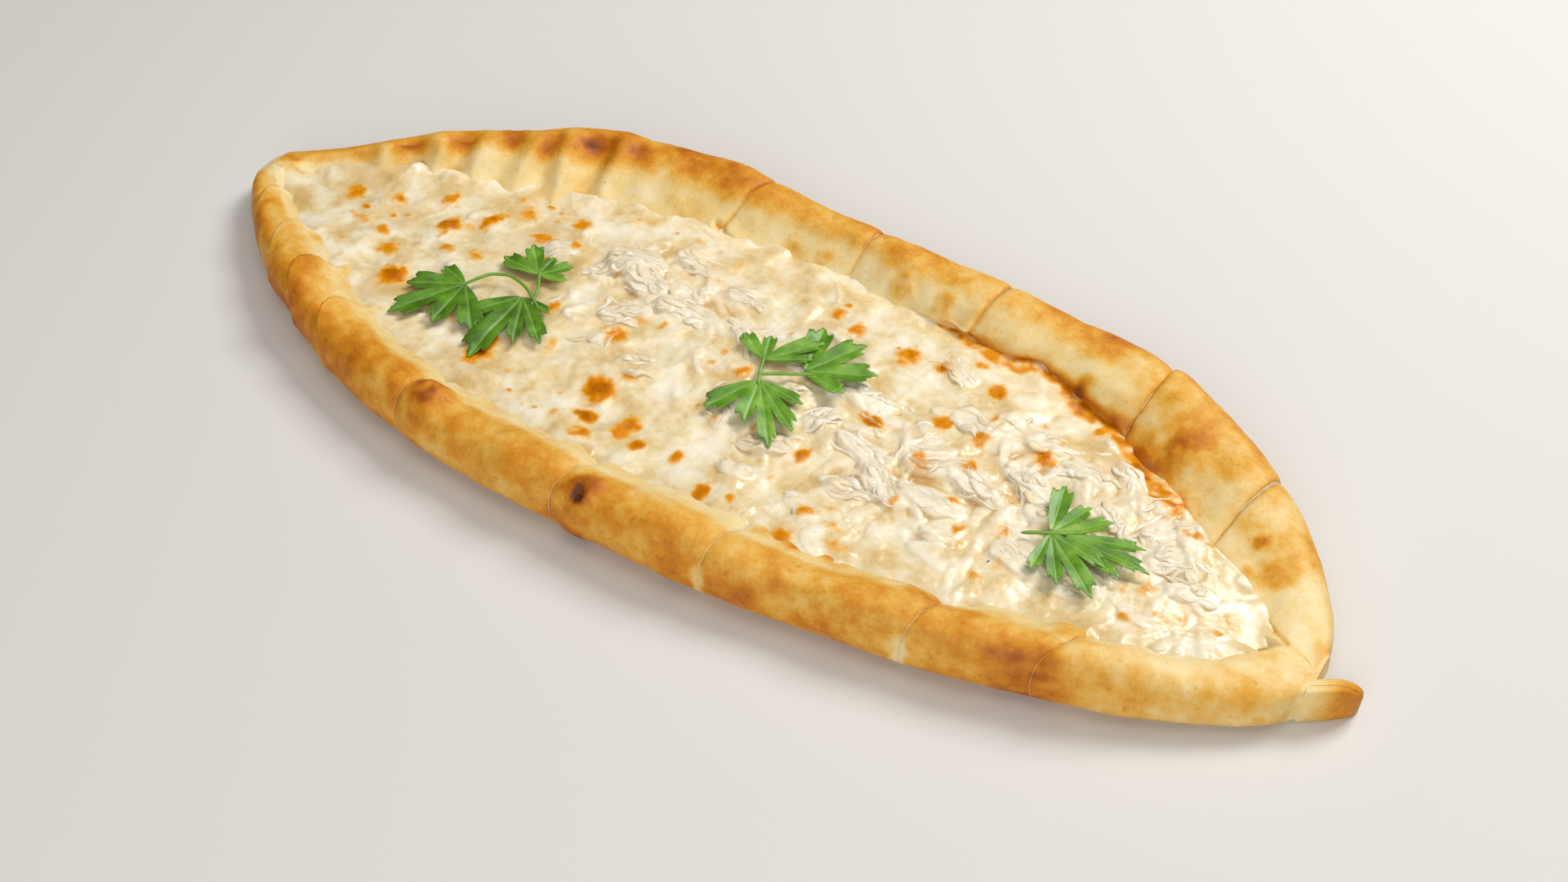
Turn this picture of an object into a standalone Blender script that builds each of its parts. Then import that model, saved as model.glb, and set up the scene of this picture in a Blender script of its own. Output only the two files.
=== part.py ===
"""Sliced Turkish pide: a boat of baked dough filled with cheese and chicken, with sprigs of parsley.

Metres, +Z up. X runs along the boat and Y across it. The origin is the centre of the footprint, on the
surface that the base lies on. The boat's outline is four quarter-sine arcs, and straight knife cuts part it
into slices. Each slice is lofted through stations that turn gradually from one cut's line to the next.
"""

import math

import bmesh
import bpy
import numpy as np
from mathutils import Vector

MM = 0.001

# The boat's outline. The two points lie off the middle, so the far side is fuller than the near one.
TIP_Y = -9.0 * MM
FAR_REACH = 88.3 * MM
NEAR_REACH = 70.3 * MM
LEFT_END = -202.5 * MM
RIGHT_END = 190.0 * MM
TIP_ROUNDING = 2.5 * MM

# How far from each end a side takes to reach its full width, and how blunt it starts.
FAR_LEFT = (152 * MM, 0.96)
FAR_RIGHT = (123 * MM, 0.52)
NEAR_LEFT = (149 * MM, 0.69)
NEAR_RIGHT = (228 * MM, 0.55)

# The twisted tail that the right end is pinched into.
TAIL_ROOT_X = 176.0 * MM
TAIL_END = 202.5 * MM
TAIL_ROOT_Y = -22.5 * MM
TAIL_SLOPE = 0.75
TAIL_RADIUS = 5.6 * MM

# The rolled rim and the flat base under the filling. The far rim spreads wide where its flaps were folded.
NEAR_RIM_WIDTH = 22 * MM
FAR_RIM_WIDTH = 27.5 * MM
FAR_LEFT_FLAP = (12 * MM, -95 * MM, 45 * MM)
FAR_RIGHT_FLAP = (10 * MM, 138 * MM, 36 * MM)
RIM_WIDTH_AT_TIP = 14 * MM
RIM_HEIGHT = 20.5 * MM
RIM_HEIGHT_AT_TIP = 13 * MM
RIM_TAPER = 70 * MM
CREST_INSET = 11 * MM
END_ROUNDING = 9 * MM
BASE_THICKNESS = 5 * MM
INNER_EDGE_HEIGHT = 9 * MM
WIDEST_HEIGHT_SHARE = 0.4

# The cheese and chicken.
FILLING_EDGE_HEIGHT = 10.5 * MM
FILLING_CROWN = 3.4 * MM
FILLING_LUMPS = 1.0 * MM
TIGHT = 0.35 * MM

# Knife cuts: where each crosses the long axis, how much it slants, and how far it gapes on its two sides.
CUTS = [
    (-61.5 * MM, 0.22, 0.6 * MM, 0.6 * MM),
    (-8.5 * MM, 0.10, 0.6 * MM, 0.6 * MM),
    (41.0 * MM, 0.085, 0.6 * MM, 0.6 * MM),
    (101.0 * MM, 0.095, 0.6 * MM, 0.6 * MM),
    (141.5 * MM, 0.23, 0.6 * MM, 2.4 * MM),
]
STATION_STEP = 6.5 * MM
END_STATION_STEP = 4.4 * MM
SMALLEST_TROUGH = 7 * MM

# Parsley.
LEAF_THICKNESS = 0.9 * MM
STEM_RADIUS = 0.8 * MM
CLEAR_OF_FILLING = 0.5 * MM
LEAF_STAGGER = 0.35 * MM
STEM_LIFT = 1.0 * MM

# Each sprig, in millimetres: for each leaf its foot and then the ends of its lobes in order round it,
# and for each stem its path.
SPRIGS = {
    "parsley_sprig_1": {
        "leaves": [
            [(-97, -22), (-109, -19), (-114, -32), (-110, -45), (-94, -42), (-81, -37)],
            [(-78, -16), (-87, -30), (-75, -46), (-67, -34), (-60, -29), (-66, -17)],
            [(-81, -5), (-96, -5), (-91.5, 5), (-81.5, 4.5), (-73.5, 4), (-71.5, -2)],
        ],
        "stems": [
            [(-70, -17.5), (-79, -13), (-86.5, -12), (-93, -15), (-98, -24)],
            [(-73, -18), (-76, -11), (-82, -3)],
        ],
    },
    "parsley_sprig_2": {
        "leaves": [
            [(6, -4), (-1.5, -22.5), (12.5, -21), (24.7, -25), (26.5, -15.5), (22.5, -4.5)],
            [(15, 7), (9.5, 26), (25, 26.5), (35, 17.5), (31, 5)],
            [(2, 4), (-10.5, 10), (-2.5, 14), (14, 20), (15, 12)],
        ],
        "stems": [[(1, 6), (5, -1), (7, -6)], [(4, -2.5), (11, 2), (18, 7)]],
    },
    "parsley_sprig_3": {
        "leaves": [
            [(108.7, -6.6), (103.5, 10.5), (114, 7.5), (122, 5.5)],
            [(112, -5), (134, 2.5), (138.5, -4.5), (133, -11)],
            [(109, -7.5), (111, -23), (120, -23.5), (130, -22), (128, -10)],
        ],
        "stems": [[(101.5, -11.5), (113, -5)]],
    },
}


def smooth(edge_0, edge_1, value):
    """0 below edge_0, 1 above edge_1, and a smooth step between them."""
    share = np.clip((value - edge_0) / (edge_1 - edge_0), 0.0, 1.0)
    return share * share * (3.0 - 2.0 * share)


def bell(x, centre, half_width):
    """A bump of height 1 at centre, which fades over half_width."""
    return np.exp(-(((x - centre) / half_width) ** 2))


def quarter_sine(distance, run, bluntness):
    """The share of its full reach that a side has, at a distance from its end."""
    rounded = np.sqrt(np.maximum(distance, 0.0) ** 2 + 2.0 * TIP_ROUNDING * np.maximum(distance, 0.0))
    return np.sin(0.5 * math.pi * np.clip(rounded / run, 0.0, 1.0)) ** bluntness


def tail_half_width(x):
    """The half width of the pinched tail, round at its end."""
    share = np.clip((x - TAIL_ROOT_X) / (TAIL_END - TAIL_ROOT_X), 0.0, 1.0)
    return TAIL_RADIUS * np.sqrt(np.maximum(1.0 - share**5, 0.0))


def tail_centre(x):
    """The y of the tail's middle line."""
    return TAIL_ROOT_Y + TAIL_SLOPE * (x - TAIL_ROOT_X)


def outline(x, side):
    """The y of the boat's outline at x, on the far side (+1) or the near side (-1)."""
    left, right = (FAR_LEFT, FAR_RIGHT) if side > 0 else (NEAR_LEFT, NEAR_RIGHT)
    reach = FAR_REACH if side > 0 else NEAR_REACH
    share = quarter_sine(x - LEFT_END, *left) * quarter_sine(RIGHT_END - x, *right)
    body = TIP_Y + side * reach * share
    tail = tail_centre(x) + side * tail_half_width(x)
    in_tail = x > TAIL_ROOT_X
    past_body = x >= RIGHT_END
    joined = np.maximum(body, tail) if side > 0 else np.minimum(body, tail)
    return np.where(past_body, tail, np.where(in_tail, joined, body))


def tip_share(x):
    """0 at the two ends and 1 along the middle."""
    return smooth(0.0, RIM_TAPER, x - LEFT_END) * smooth(0.0, 0.7 * RIM_TAPER, RIGHT_END - x)


def pleats(x, side):
    """Finger folds near the left end: a row of ridges on the far rim and two knuckles on the near one."""
    if side > 0:
        run = smooth(-178 * MM, -160 * MM, x) * (1.0 - smooth(-98 * MM, -80 * MM, x))
        return run * np.sin(2.0 * math.pi * (x + 0.150) / (14.5 * MM))
    knuckles = [(-156 * MM, 0.7), (-138 * MM, 1.0), (-120 * MM, 1.1)]
    return sum(size * bell(x, at, 6.0 * MM) for at, size in knuckles) - 0.35 * bell(x, -138 * MM, 30 * MM)


def rim_height(x, side):
    """The height of the rim's crest."""
    waves = 0.7 * np.sin(x / (8.6 * MM) + 1.2 * side) + 0.6 * np.sin(x / (15.5 * MM) + 0.4)
    swell = 1.3 * bell(x, 66 * MM, 30 * MM) if side > 0 else 0.8 * bell(x, -20 * MM, 45 * MM)
    full = RIM_HEIGHT + (waves + swell + 1.2 * pleats(x, side)) * MM
    height = RIM_HEIGHT_AT_TIP + (full - RIM_HEIGHT_AT_TIP) * tip_share(x)
    to_end = np.clip(np.minimum(x - LEFT_END, TAIL_END - x) / END_ROUNDING, 0.0, 1.0)
    return height * (0.45 + 0.55 * np.sqrt(1.0 - (1.0 - to_end) ** 2))


def rim_width(x, side):
    """How wide the rim is, from its outer side to where it meets the filling."""
    waves = 0.9 * np.sin(x / (11.0 * MM) + 2.0 * side) + 0.8 * np.sin(x / (6.3 * MM))
    full = NEAR_RIM_WIDTH
    if side > 0:
        flaps = sum(size * bell(x, at, spread) for size, at, spread in (FAR_LEFT_FLAP, FAR_RIGHT_FLAP))
        full = FAR_RIM_WIDTH + flaps
    return RIM_WIDTH_AT_TIP + (full + waves * MM - RIM_WIDTH_AT_TIP) * tip_share(x)


def cut_line(cut, edge):
    """The x of a cut's edge as a function of y. Edge is -1 on the cut's left side and +1 on its right."""
    at, slant, near_gape, far_gape = cut

    def x_at(y):
        share = np.clip((y + 0.08) / 0.16, 0.0, 1.0)
        gape = near_gape + (far_gape - near_gape) * share
        return at + slant * y + 0.5 * edge * gape

    return x_at


def slice_ends():
    """The two bounding lines of each slice, from left to right."""
    first = [lambda y: np.full_like(y, LEFT_END + 0.6 * MM)]
    last = [lambda y: np.full_like(y, TAIL_END - 0.25 * MM)]
    starts = first + [cut_line(cut, +1) for cut in CUTS]
    stops = [cut_line(cut, -1) for cut in CUTS] + last
    return list(zip(starts, stops))


def between(start, stop, share):
    """The line that lies a share of the way from one bounding line to the next."""
    return lambda y: (1.0 - share) * start(y) + share * stop(y)


def edge_of(line, side):
    """Where a station's line meets the outline, by a few fixed-point steps."""
    y = np.array(side * 0.05)
    for _ in range(40):
        y = outline(line(y), side)
    return float(y)


def station(line):
    """The main places along one station: the rims' edges, widths and heights, and how open it is."""
    found = {}
    for side in (-1, 1):
        y = edge_of(line, side)
        x = float(line(np.array(y)))
        found[side] = {"y": y, "height": float(rim_height(x, side)), "width": float(rim_width(x, side))}
    across = found[1]["y"] - found[-1]["y"]
    widest = 0.5 * across
    for side in (-1, 1):
        found[side]["width"] = min(found[side]["width"], widest - 0.01 * MM)
    trough = across - found[-1]["width"] - found[1]["width"]
    found["open"] = float(smooth(1 * MM, 16 * MM, trough))
    found["trough"] = trough
    for side in (-1, 1):
        rim = found[side]
        rim["floor"] = BASE_THICKNESS + (rim["height"] - BASE_THICKNESS) * (1.0 - found["open"])
    return found


def rim_profile(rim, side, openness):
    """The rim's section as (y, z) points, from the bottom round the outside and over to the trough's floor.

    It is a superellipse whose widest point is low on its outer side and whose crest is nearer the outside.
    """
    outer = min(CREST_INSET, 0.5 * rim["width"])
    inner = rim["width"] - outer
    widest = WIDEST_HEIGHT_SHARE * rim["height"]
    edge = INNER_EDGE_HEIGHT + (rim["height"] - INNER_EDGE_HEIGHT) * (1.0 - openness)
    points = []
    for degrees in (-90, -58, -24, 0, 26, 56, 90):
        angle = math.radians(degrees)
        inset = outer * (1.0 - abs(math.cos(angle)) ** 0.8)
        rise = (rim["height"] - widest) if degrees > 0 else widest
        points.append((inset, widest + rise * math.sin(angle)))
    for degrees in (62, 38, 17, 0):
        angle = math.radians(degrees)
        inset = outer + inner * math.cos(angle) ** 0.9
        points.append((inset, edge + (rim["height"] - edge) * math.sin(angle) ** 0.9))
    points.append((rim["width"], min(rim["floor"], points[-1][1] - 0.05 * MM)))
    return [(rim["y"] - side * inset, z) for inset, z in points]


def crust_section(line):
    """One closed section of the dough, as (x, y, z) points from the near contact to the far one."""
    places = station(line)
    near = rim_profile(places[-1], -1, places["open"])
    far = rim_profile(places[1], 1, places["open"])
    return [(float(line(np.array(y))), y, z) for y, z in near + far[::-1]]


def filling_top(x, y):
    """The height of the melted cheese with chicken under it: a low crown with soft lumps."""
    lumps = np.sin(x / (7.5 * MM) + 1.3 * np.sin(y / (9.0 * MM)))
    lumps = lumps + 0.7 * np.sin(y / (6.4 * MM) + 1.7 * np.cos(x / (12.0 * MM)))
    crown = FILLING_CROWN * bell(y, TIP_Y + 8 * MM, 38 * MM) * tip_share(x)
    return FILLING_EDGE_HEIGHT + crown + FILLING_LUMPS * lumps * tip_share(x)


def filling_section(line):
    """One closed section of the filling: its two lower corners and a row of points over its top."""
    places = station(line)
    near_y = places[-1]["y"] + places[-1]["width"] + TIGHT
    far_y = places[1]["y"] - places[1]["width"] - TIGHT
    near_bottom = places[-1]["floor"] + TIGHT
    far_bottom = places[1]["floor"] + TIGHT
    points = [(near_y, near_bottom)]
    for y in np.linspace(near_y, far_y, 11):
        height = float(filling_top(float(line(y)), y))
        points.append((float(y), max(height, max(near_bottom, far_bottom) + 0.6 * MM)))
    points.append((far_y, far_bottom))
    return [(float(line(np.array(y))), y, z) for y, z in points]


def loft(name, sections, material):
    """A closed solid through equal rings of points, with a flat cap at each end."""
    mesh = bpy.data.meshes.new(name)
    bm = bmesh.new()
    rings = [[bm.verts.new(point) for point in section] for section in sections]
    count = len(rings[0])
    for ring, following in zip(rings, rings[1:]):
        for k in range(count):
            n = (k + 1) % count
            bm.faces.new((ring[k], ring[n], following[n], following[k]))
    bm.faces.new(rings[0][::-1])
    bm.faces.new(rings[-1])
    bmesh.ops.recalc_face_normals(bm, faces=bm.faces)
    bm.to_mesh(mesh)
    bm.free()
    mesh.shade_smooth()
    mesh.set_sharp_from_angle(angle=math.radians(50))
    mesh.materials.append(material)
    made = bpy.data.objects.new(name, mesh)
    bpy.context.scene.collection.objects.link(made)
    return made


def stations_of(start, stop, step):
    """Evenly spaced lines from one bounding line to the next, in steps of about the given length."""
    length = float(stop(np.array(TIP_Y)) - start(np.array(TIP_Y)))
    count = max(3, round(length / step))
    return [between(start, stop, share) for share in np.linspace(0.0, 1.0, count + 1)]


def make_slices(dough, cheese):
    """Each slice's dough, and the filling in its trough, which ends where the trough closes near the tips.

    The two end slices have finer stations, for their pleats and their rounded tips.
    """
    for index, (start, stop) in enumerate(slice_ends()):
        step = END_STATION_STEP if index in (0, len(CUTS)) else STATION_STEP
        lines = stations_of(start, stop, step)
        loft(f"crust_slice_{index + 1}", [crust_section(line) for line in lines], dough)
        filled = [line for line in lines if station(line)["trough"] > SMALLEST_TROUGH]
        loft(f"filling_slice_{index + 1}", [filling_section(line) for line in filled], cheese)


def lobe_width(feet_to_tips, index):
    """How wide a lobe is, as a share of its length: at most 0.24, and less where neighbours crowd it."""
    here = feet_to_tips[index]
    beside = feet_to_tips[max(index - 1, 0) : index] + feet_to_tips[index + 1 : index + 2]
    gaps = [abs(here.angle_signed(other)) for other in beside]
    return min(0.24, 0.6 * math.tan(0.5 * min(gaps)))


def leaf_outline(foot, tips):
    """A flat parsley leaf's outline: pointed lobes with shoulders, and a notch between each two lobes."""
    foot = Vector(foot)
    reaches = [Vector(tip) - foot for tip in tips]
    points = [foot]
    for index, reach in enumerate(reaches):
        across = Vector((-reach.y, reach.x))
        turn = 1.0 if reaches[0].angle_signed(reaches[-1]) < 0.0 else -1.0
        width = turn * lobe_width(reaches, index)
        points.append(foot + 0.70 * reach - width * across)
        points.append(foot + 0.93 * reach - 0.45 * width * across)
        points.append(foot + reach)
        points.append(foot + 0.93 * reach + 0.45 * width * across)
        points.append(foot + 0.70 * reach + width * across)
        if index + 1 < len(reaches):
            points.append(foot + 0.31 * (reach + reaches[index + 1]))
    return points


def plate(name, outline_points, level):
    """A thin flat plate with the given outline, in millimetres, at the given level."""
    bm = bmesh.new()
    face = bm.faces.new([bm.verts.new((point.x * MM, point.y * MM, level)) for point in outline_points])
    extruded = bmesh.ops.extrude_face_region(bm, geom=[face])
    moved = [item for item in extruded["geom"] if isinstance(item, bmesh.types.BMVert)]
    bmesh.ops.translate(bm, verts=moved, vec=(0.0, 0.0, LEAF_THICKNESS))
    bmesh.ops.triangulate(bm, faces=bm.faces)
    bmesh.ops.recalc_face_normals(bm, faces=bm.faces)
    mesh = bpy.data.meshes.new(name)
    bm.to_mesh(mesh)
    bm.free()
    return bpy.data.objects.new(name, mesh)


def stem(name, path, level):
    """A level stem: an eight-sided tube along a path in millimetres, with flat ends."""
    places = [Vector((x * MM, y * MM, level)) for x, y in path]
    mesh = bpy.data.meshes.new(name)
    bm = bmesh.new()
    rings = []
    for index, place in enumerate(places):
        before = places[max(index - 1, 0)]
        after = places[min(index + 1, len(places) - 1)]
        along = (after - before).normalized()
        across = Vector((-along.y, along.x, 0.0))
        ring = []
        for step in range(8):
            angle = 0.25 * math.pi * (step + 0.5)
            offset = STEM_RADIUS * (math.cos(angle) * across + math.sin(angle) * Vector((0.0, 0.0, 1.0)))
            ring.append(bm.verts.new(place + offset))
        rings.append(ring)
    for ring, following in zip(rings, rings[1:]):
        for k in range(8):
            n = (k + 1) % 8
            bm.faces.new((ring[k], ring[n], following[n], following[k]))
    bm.faces.new(rings[0][::-1])
    bm.faces.new(rings[-1])
    bmesh.ops.recalc_face_normals(bm, faces=bm.faces)
    bm.to_mesh(mesh)
    bm.free()
    return bpy.data.objects.new(name, mesh)


def make_sprig(name, leaves, stems, material):
    """One sprig: its leaves and stems joined into one solid, just clear of the filling's lumps."""
    corners = [corner for path in leaves + stems for corner in path]
    level = max(float(filling_top(x * MM, y * MM)) for x, y in corners) + CLEAR_OF_FILLING
    parts = []
    for index, (foot, *tips) in enumerate(leaves):
        parts.append(plate(f"{name}_leaf_{index}", leaf_outline(foot, tips), level + index * LEAF_STAGGER))
    for index, path in enumerate(stems):
        parts.append(stem(f"{name}_stem_{index}", path, level + STEM_LIFT + index * LEAF_STAGGER))
    whole = parts[0]
    whole.name = name
    whole.data.materials.append(material)
    bpy.context.scene.collection.objects.link(whole)
    for extra in parts[1:]:
        extra.hide_render = True
        bpy.context.scene.collection.objects.link(extra)
        union = whole.modifiers.new(extra.name, "BOOLEAN")
        union.operation = "UNION"
        union.solver = "EXACT"
        union.object = extra
    return whole


def make_material(name, colour, roughness):
    material = bpy.data.materials.new(name)
    material.use_nodes = True
    shader = material.node_tree.nodes["Principled BSDF"]
    shader.inputs["Base Color"].default_value = (*colour, 1.0)
    shader.inputs["Roughness"].default_value = roughness
    shader.inputs["Metallic"].default_value = 0.0
    return material


def main():
    for old in list(bpy.data.objects):
        bpy.data.objects.remove(old)
    dough = make_material("baked_dough", (0.78, 0.50, 0.19), 0.55)
    cheese = make_material("melted_cheese_and_chicken", (0.82, 0.70, 0.48), 0.4)
    leaf = make_material("parsley_leaf", (0.09, 0.24, 0.04), 0.5)
    make_slices(dough, cheese)
    for name, sprig in SPRIGS.items():
        make_sprig(name, sprig["leaves"], sprig["stems"], leaf)


main()
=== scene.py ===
# %% [markdown]
# # A sliced Turkish pide
#
# Pide is a long boat of bread dough. Its edge is rolled in to hold a filling, its two ends are pinched
# shut, and it is baked hot, so the dough browns where it stands proud and stays pale where it is folded.
# Here the filling is melted cheese over pulled chicken, the boat is cut across into slices, and parsley
# lies on top.
#
# The CAD part gives the true size and the slices. This script loads it as a frame, and makes a finer
# surface for each of its solids: dough, cheese, strands of chicken and parsley.

import math

import bpy
import numpy as np
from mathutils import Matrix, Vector


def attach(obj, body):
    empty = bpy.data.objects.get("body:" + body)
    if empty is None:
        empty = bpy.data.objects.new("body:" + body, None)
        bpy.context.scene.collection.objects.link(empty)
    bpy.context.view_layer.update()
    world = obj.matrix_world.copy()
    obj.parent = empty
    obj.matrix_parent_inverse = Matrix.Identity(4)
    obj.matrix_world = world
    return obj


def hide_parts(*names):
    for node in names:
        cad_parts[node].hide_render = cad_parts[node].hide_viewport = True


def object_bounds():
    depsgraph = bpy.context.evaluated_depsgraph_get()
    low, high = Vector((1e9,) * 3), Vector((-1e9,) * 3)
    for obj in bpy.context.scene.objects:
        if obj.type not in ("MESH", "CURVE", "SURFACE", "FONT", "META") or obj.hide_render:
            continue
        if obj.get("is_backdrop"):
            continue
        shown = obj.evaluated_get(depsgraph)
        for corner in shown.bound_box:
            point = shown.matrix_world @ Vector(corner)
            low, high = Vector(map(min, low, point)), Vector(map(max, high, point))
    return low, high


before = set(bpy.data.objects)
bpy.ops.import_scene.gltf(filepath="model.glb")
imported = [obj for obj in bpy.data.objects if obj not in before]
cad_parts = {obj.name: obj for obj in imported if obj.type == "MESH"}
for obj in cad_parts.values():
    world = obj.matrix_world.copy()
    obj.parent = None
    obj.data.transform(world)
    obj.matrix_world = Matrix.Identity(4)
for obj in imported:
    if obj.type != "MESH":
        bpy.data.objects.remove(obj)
cad_low, cad_high = (np.array(corner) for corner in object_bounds())
print("CAD box in mm:", np.round(cad_low * 1000, 1), np.round(cad_high * 1000, 1))

# %% [markdown]
# ## Small helpers
#
# Everything is worked out with numpy on whole grids of points. A smooth step, a bell and a layered noise
# are enough to shape dough and cheese. The noise is a box of random numbers, read between its cells with
# smooth weights, so a size in millimetres says how wide its lumps are.

# %% Steps, bells and noise
MM = 0.001
rng = np.random.default_rng(11)
noise_box = rng.random((48, 48, 48))


def smooth(edge_0, edge_1, value):
    """0 below edge_0, 1 above edge_1, and a smooth step between them."""
    share = np.clip((value - edge_0) / (edge_1 - edge_0), 0.0, 1.0)
    return share * share * (3.0 - 2.0 * share)


def bell(x, centre, half_width):
    """A bump of height 1 at centre, which fades over half_width."""
    return np.exp(-(((x - centre) / half_width) ** 2))


def noise(x, y, z, size, seed=0):
    """Smooth noise from -1 to 1: the noise box read at the point over size, blended between its eight
    corners.
    """
    sizes = np.broadcast_to(np.asarray(size, float), (3,))
    place = np.stack(np.broadcast_arrays(x, y, z), -1) / sizes + 500.0 + 7.31 * seed
    cell = np.floor(place).astype(int)
    part = place - cell
    part = part * part * (3.0 - 2.0 * part)
    total = np.zeros(place.shape[:-1])
    for corner in np.ndindex(2, 2, 2):
        weight = np.prod(np.where(corner, part, 1.0 - part), axis=-1)
        i, j, k = np.moveaxis((cell + corner) % 48, -1, 0)
        total += weight * noise_box[i, j, k]
    return 2.0 * total - 1.0


def away_from_line(x, y, path):
    """The distance from each point to the nearest stretch of a path of (x, y) corners."""
    nearest = np.full(np.broadcast(x, y).shape, 1e9)
    for (x_0, y_0), (x_1, y_1) in zip(path, path[1:]):
        length = math.hypot(x_1 - x_0, y_1 - y_0)
        along = np.clip(((x - x_0) * (x_1 - x_0) + (y - y_0) * (y_1 - y_0)) / length**2, 0.0, 1.0)
        nearest = np.minimum(nearest, np.hypot(x - x_0 - along * (x_1 - x_0), y - y_0 - along * (y_1 - y_0)))
    return nearest


sample = noise(np.arange(0.0, 1.0, 0.001), 0.0, 0.0, 10 * MM)
print("noise goes from", round(float(sample.min()), 2), "to", round(float(sample.max()), 2))


# %% [markdown]
# ## From grids to meshes
#
# A grid of points becomes a mesh by joining each point to its neighbours. Where the grid closes on
# itself, as a tube does, its last column joins its first. Values that a material needs, such as how brown
# the dough is, are stored on the points as attributes.

# %% Mesh makers
def grid_faces(rows, columns, closed):
    """Four-cornered faces of a grid of points; closed grids join their last column to their first."""
    index = np.arange(rows * columns).reshape(rows, columns)
    right = np.roll(index, -1, axis=1)
    if not closed:
        index, right = index[:, :-1], right[:, :-1]
    return np.stack([index[:-1], right[:-1], right[1:], index[1:]], -1).reshape(-1, 4)


def make_piece(name, points, faces, attributes, materials, face_material=None):
    """A mesh object from its points, its faces and the values stored on its points."""
    mesh = bpy.data.meshes.new(name)
    mesh.from_pydata(points.reshape(-1, 3), [], faces)
    for key, values in attributes.items():
        layer = mesh.attributes.new(key, "FLOAT", "POINT")
        layer.data.foreach_set("value", np.ascontiguousarray(values, np.float32).ravel())
    for material in materials:
        mesh.materials.append(material)
    if face_material is not None:
        mesh.polygons.foreach_set("material_index", face_material)
    mesh.shade_smooth()
    piece = bpy.data.objects.new(name, mesh)
    bpy.context.scene.collection.objects.link(piece)
    return piece


def loft_piece(name, grid, attributes, materials, cut_ends=(True, True)):
    """A closed tube through rows of points, with a flat end at each end, in the second material where
    it is cut.
    """
    rows, columns = grid.shape[:2]
    faces = [tuple(face) for face in grid_faces(rows, columns, True)[:, ::-1].tolist()]
    faces.append(tuple(range(columns)))
    faces.append(tuple(range(rows * columns - 1, (rows - 1) * columns - 1, -1)))
    which = np.zeros(len(faces), np.int32)
    which[-2:] = cut_ends
    piece = make_piece(name, grid, faces, attributes, materials, which)
    piece.data.set_sharp_from_angle(angle=math.radians(55))
    return piece


def grid_normals(grid, closed):
    """The unit normal at each point of a grid, from the steps to its neighbours."""
    along = np.gradient(grid, axis=0)
    if closed:
        around = np.roll(grid, -1, axis=1) - np.roll(grid, 1, axis=1)
    else:
        around = np.gradient(grid, axis=1)
    normal = np.cross(along, around)
    return normal / np.maximum(np.linalg.norm(normal, axis=-1, keepdims=True), 1e-12)


print("faces of a closed grid of 3 rows and 8 columns:", len(grid_faces(3, 8, True)))


# %% [markdown]
# ## Colour and nodes
#
# Colours are written as the screen shows them, in hex, and turned to linear light once. One function adds a
# shader node with its settings and its links.

# %% Colour and node helpers
def linear(hex_colour):
    """An sRGB hex colour as linear red, green, blue and alpha."""
    shown = np.array([int(hex_colour[k : k + 2], 16) for k in (1, 3, 5)]) / 255.0
    light = np.where(shown <= 0.04045, shown / 12.92, ((shown + 0.055) / 1.055) ** 2.4)
    return (*light.tolist(), 1.0)


def add_node(material, kind, inputs=None, stops=(), **settings):
    """Adds a shader node. A value in inputs is either a plain value or another node's output to link from.

    Stops are the (position, hex colour) pairs of a colour ramp.
    """
    tree = material.node_tree
    node = tree.nodes.new(kind)
    for key, value in settings.items():
        setattr(node, key, value)
    for key, value in (inputs or {}).items():
        if isinstance(value, bpy.types.NodeSocket):
            tree.links.new(value, node.inputs[key])
        else:
            node.inputs[key].default_value = value
    elements = node.color_ramp.elements if stops else ()
    while len(elements) < len(stops):
        elements.new(0.5)
    for element, (position, hex_colour) in zip(elements, stops):
        element.position = position
        element.color = linear(hex_colour)
    return node


def new_material(name):
    """A named material, its Principled shader and its object coordinates."""
    material = bpy.data.materials.new(name)
    material.use_nodes = True
    shader = material.node_tree.nodes["Principled BSDF"]
    coordinates = add_node(material, "ShaderNodeTexCoord").outputs["Object"]
    return material, shader, coordinates


print("mid grey in linear light:", [round(part, 3) for part in linear("#808080")])


# %% [markdown]
# ## The boat's form
#
# These are the part's own rules, written again for whole arrays: the outline is four quarter-sine arcs
# with a pinched tail, the rim is a rolled section whose crest is nearer its outer side, and the cuts are
# slanted lines. The far rim is wide where its flaps were folded in, near both ends.

# %% Sizes of the boat
TIP_Y = -9.0 * MM
REACH = {1: 88.3 * MM, -1: 70.3 * MM}
LEFT_RUN = {1: (152 * MM, 0.96), -1: (149 * MM, 0.69)}
RIGHT_RUN = {1: (123 * MM, 0.52), -1: (228 * MM, 0.55)}
LEFT_END = -202.5 * MM
RIGHT_END = 190.0 * MM
TIP_ROUNDING = 2.5 * MM
TAIL_ROOT = (176.0 * MM, -22.5 * MM)
TAIL_END = 202.5 * MM
TAIL_SLOPE = 0.75
TAIL_RADIUS = 5.0 * MM
CREST_INSET = 11 * MM
BASE_TOP = 5 * MM
INNER_EDGE = {1: 9 * MM, -1: 12 * MM}

# Where each knife cut crosses the long axis, its slant, and its gape at the near and the far side.
CUTS = [
    (-61.5 * MM, 0.22, 0.12 * MM, 0.12 * MM),
    (-8.5 * MM, 0.10, 0.15 * MM, 0.12 * MM),
    (41.0 * MM, 0.085, 0.22 * MM, 0.16 * MM),
    (101.0 * MM, 0.095, 0.26 * MM, 0.22 * MM),
    (141.5 * MM, 0.23, 0.12 * MM, 0.9 * MM),
]

# How far each slice's far edge stands out beyond its neighbours', since the slices slid a little when cut.
FAR_STEPS = [0.0, 0.3, -0.2, -0.7, 0.9, 0.5]

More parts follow.
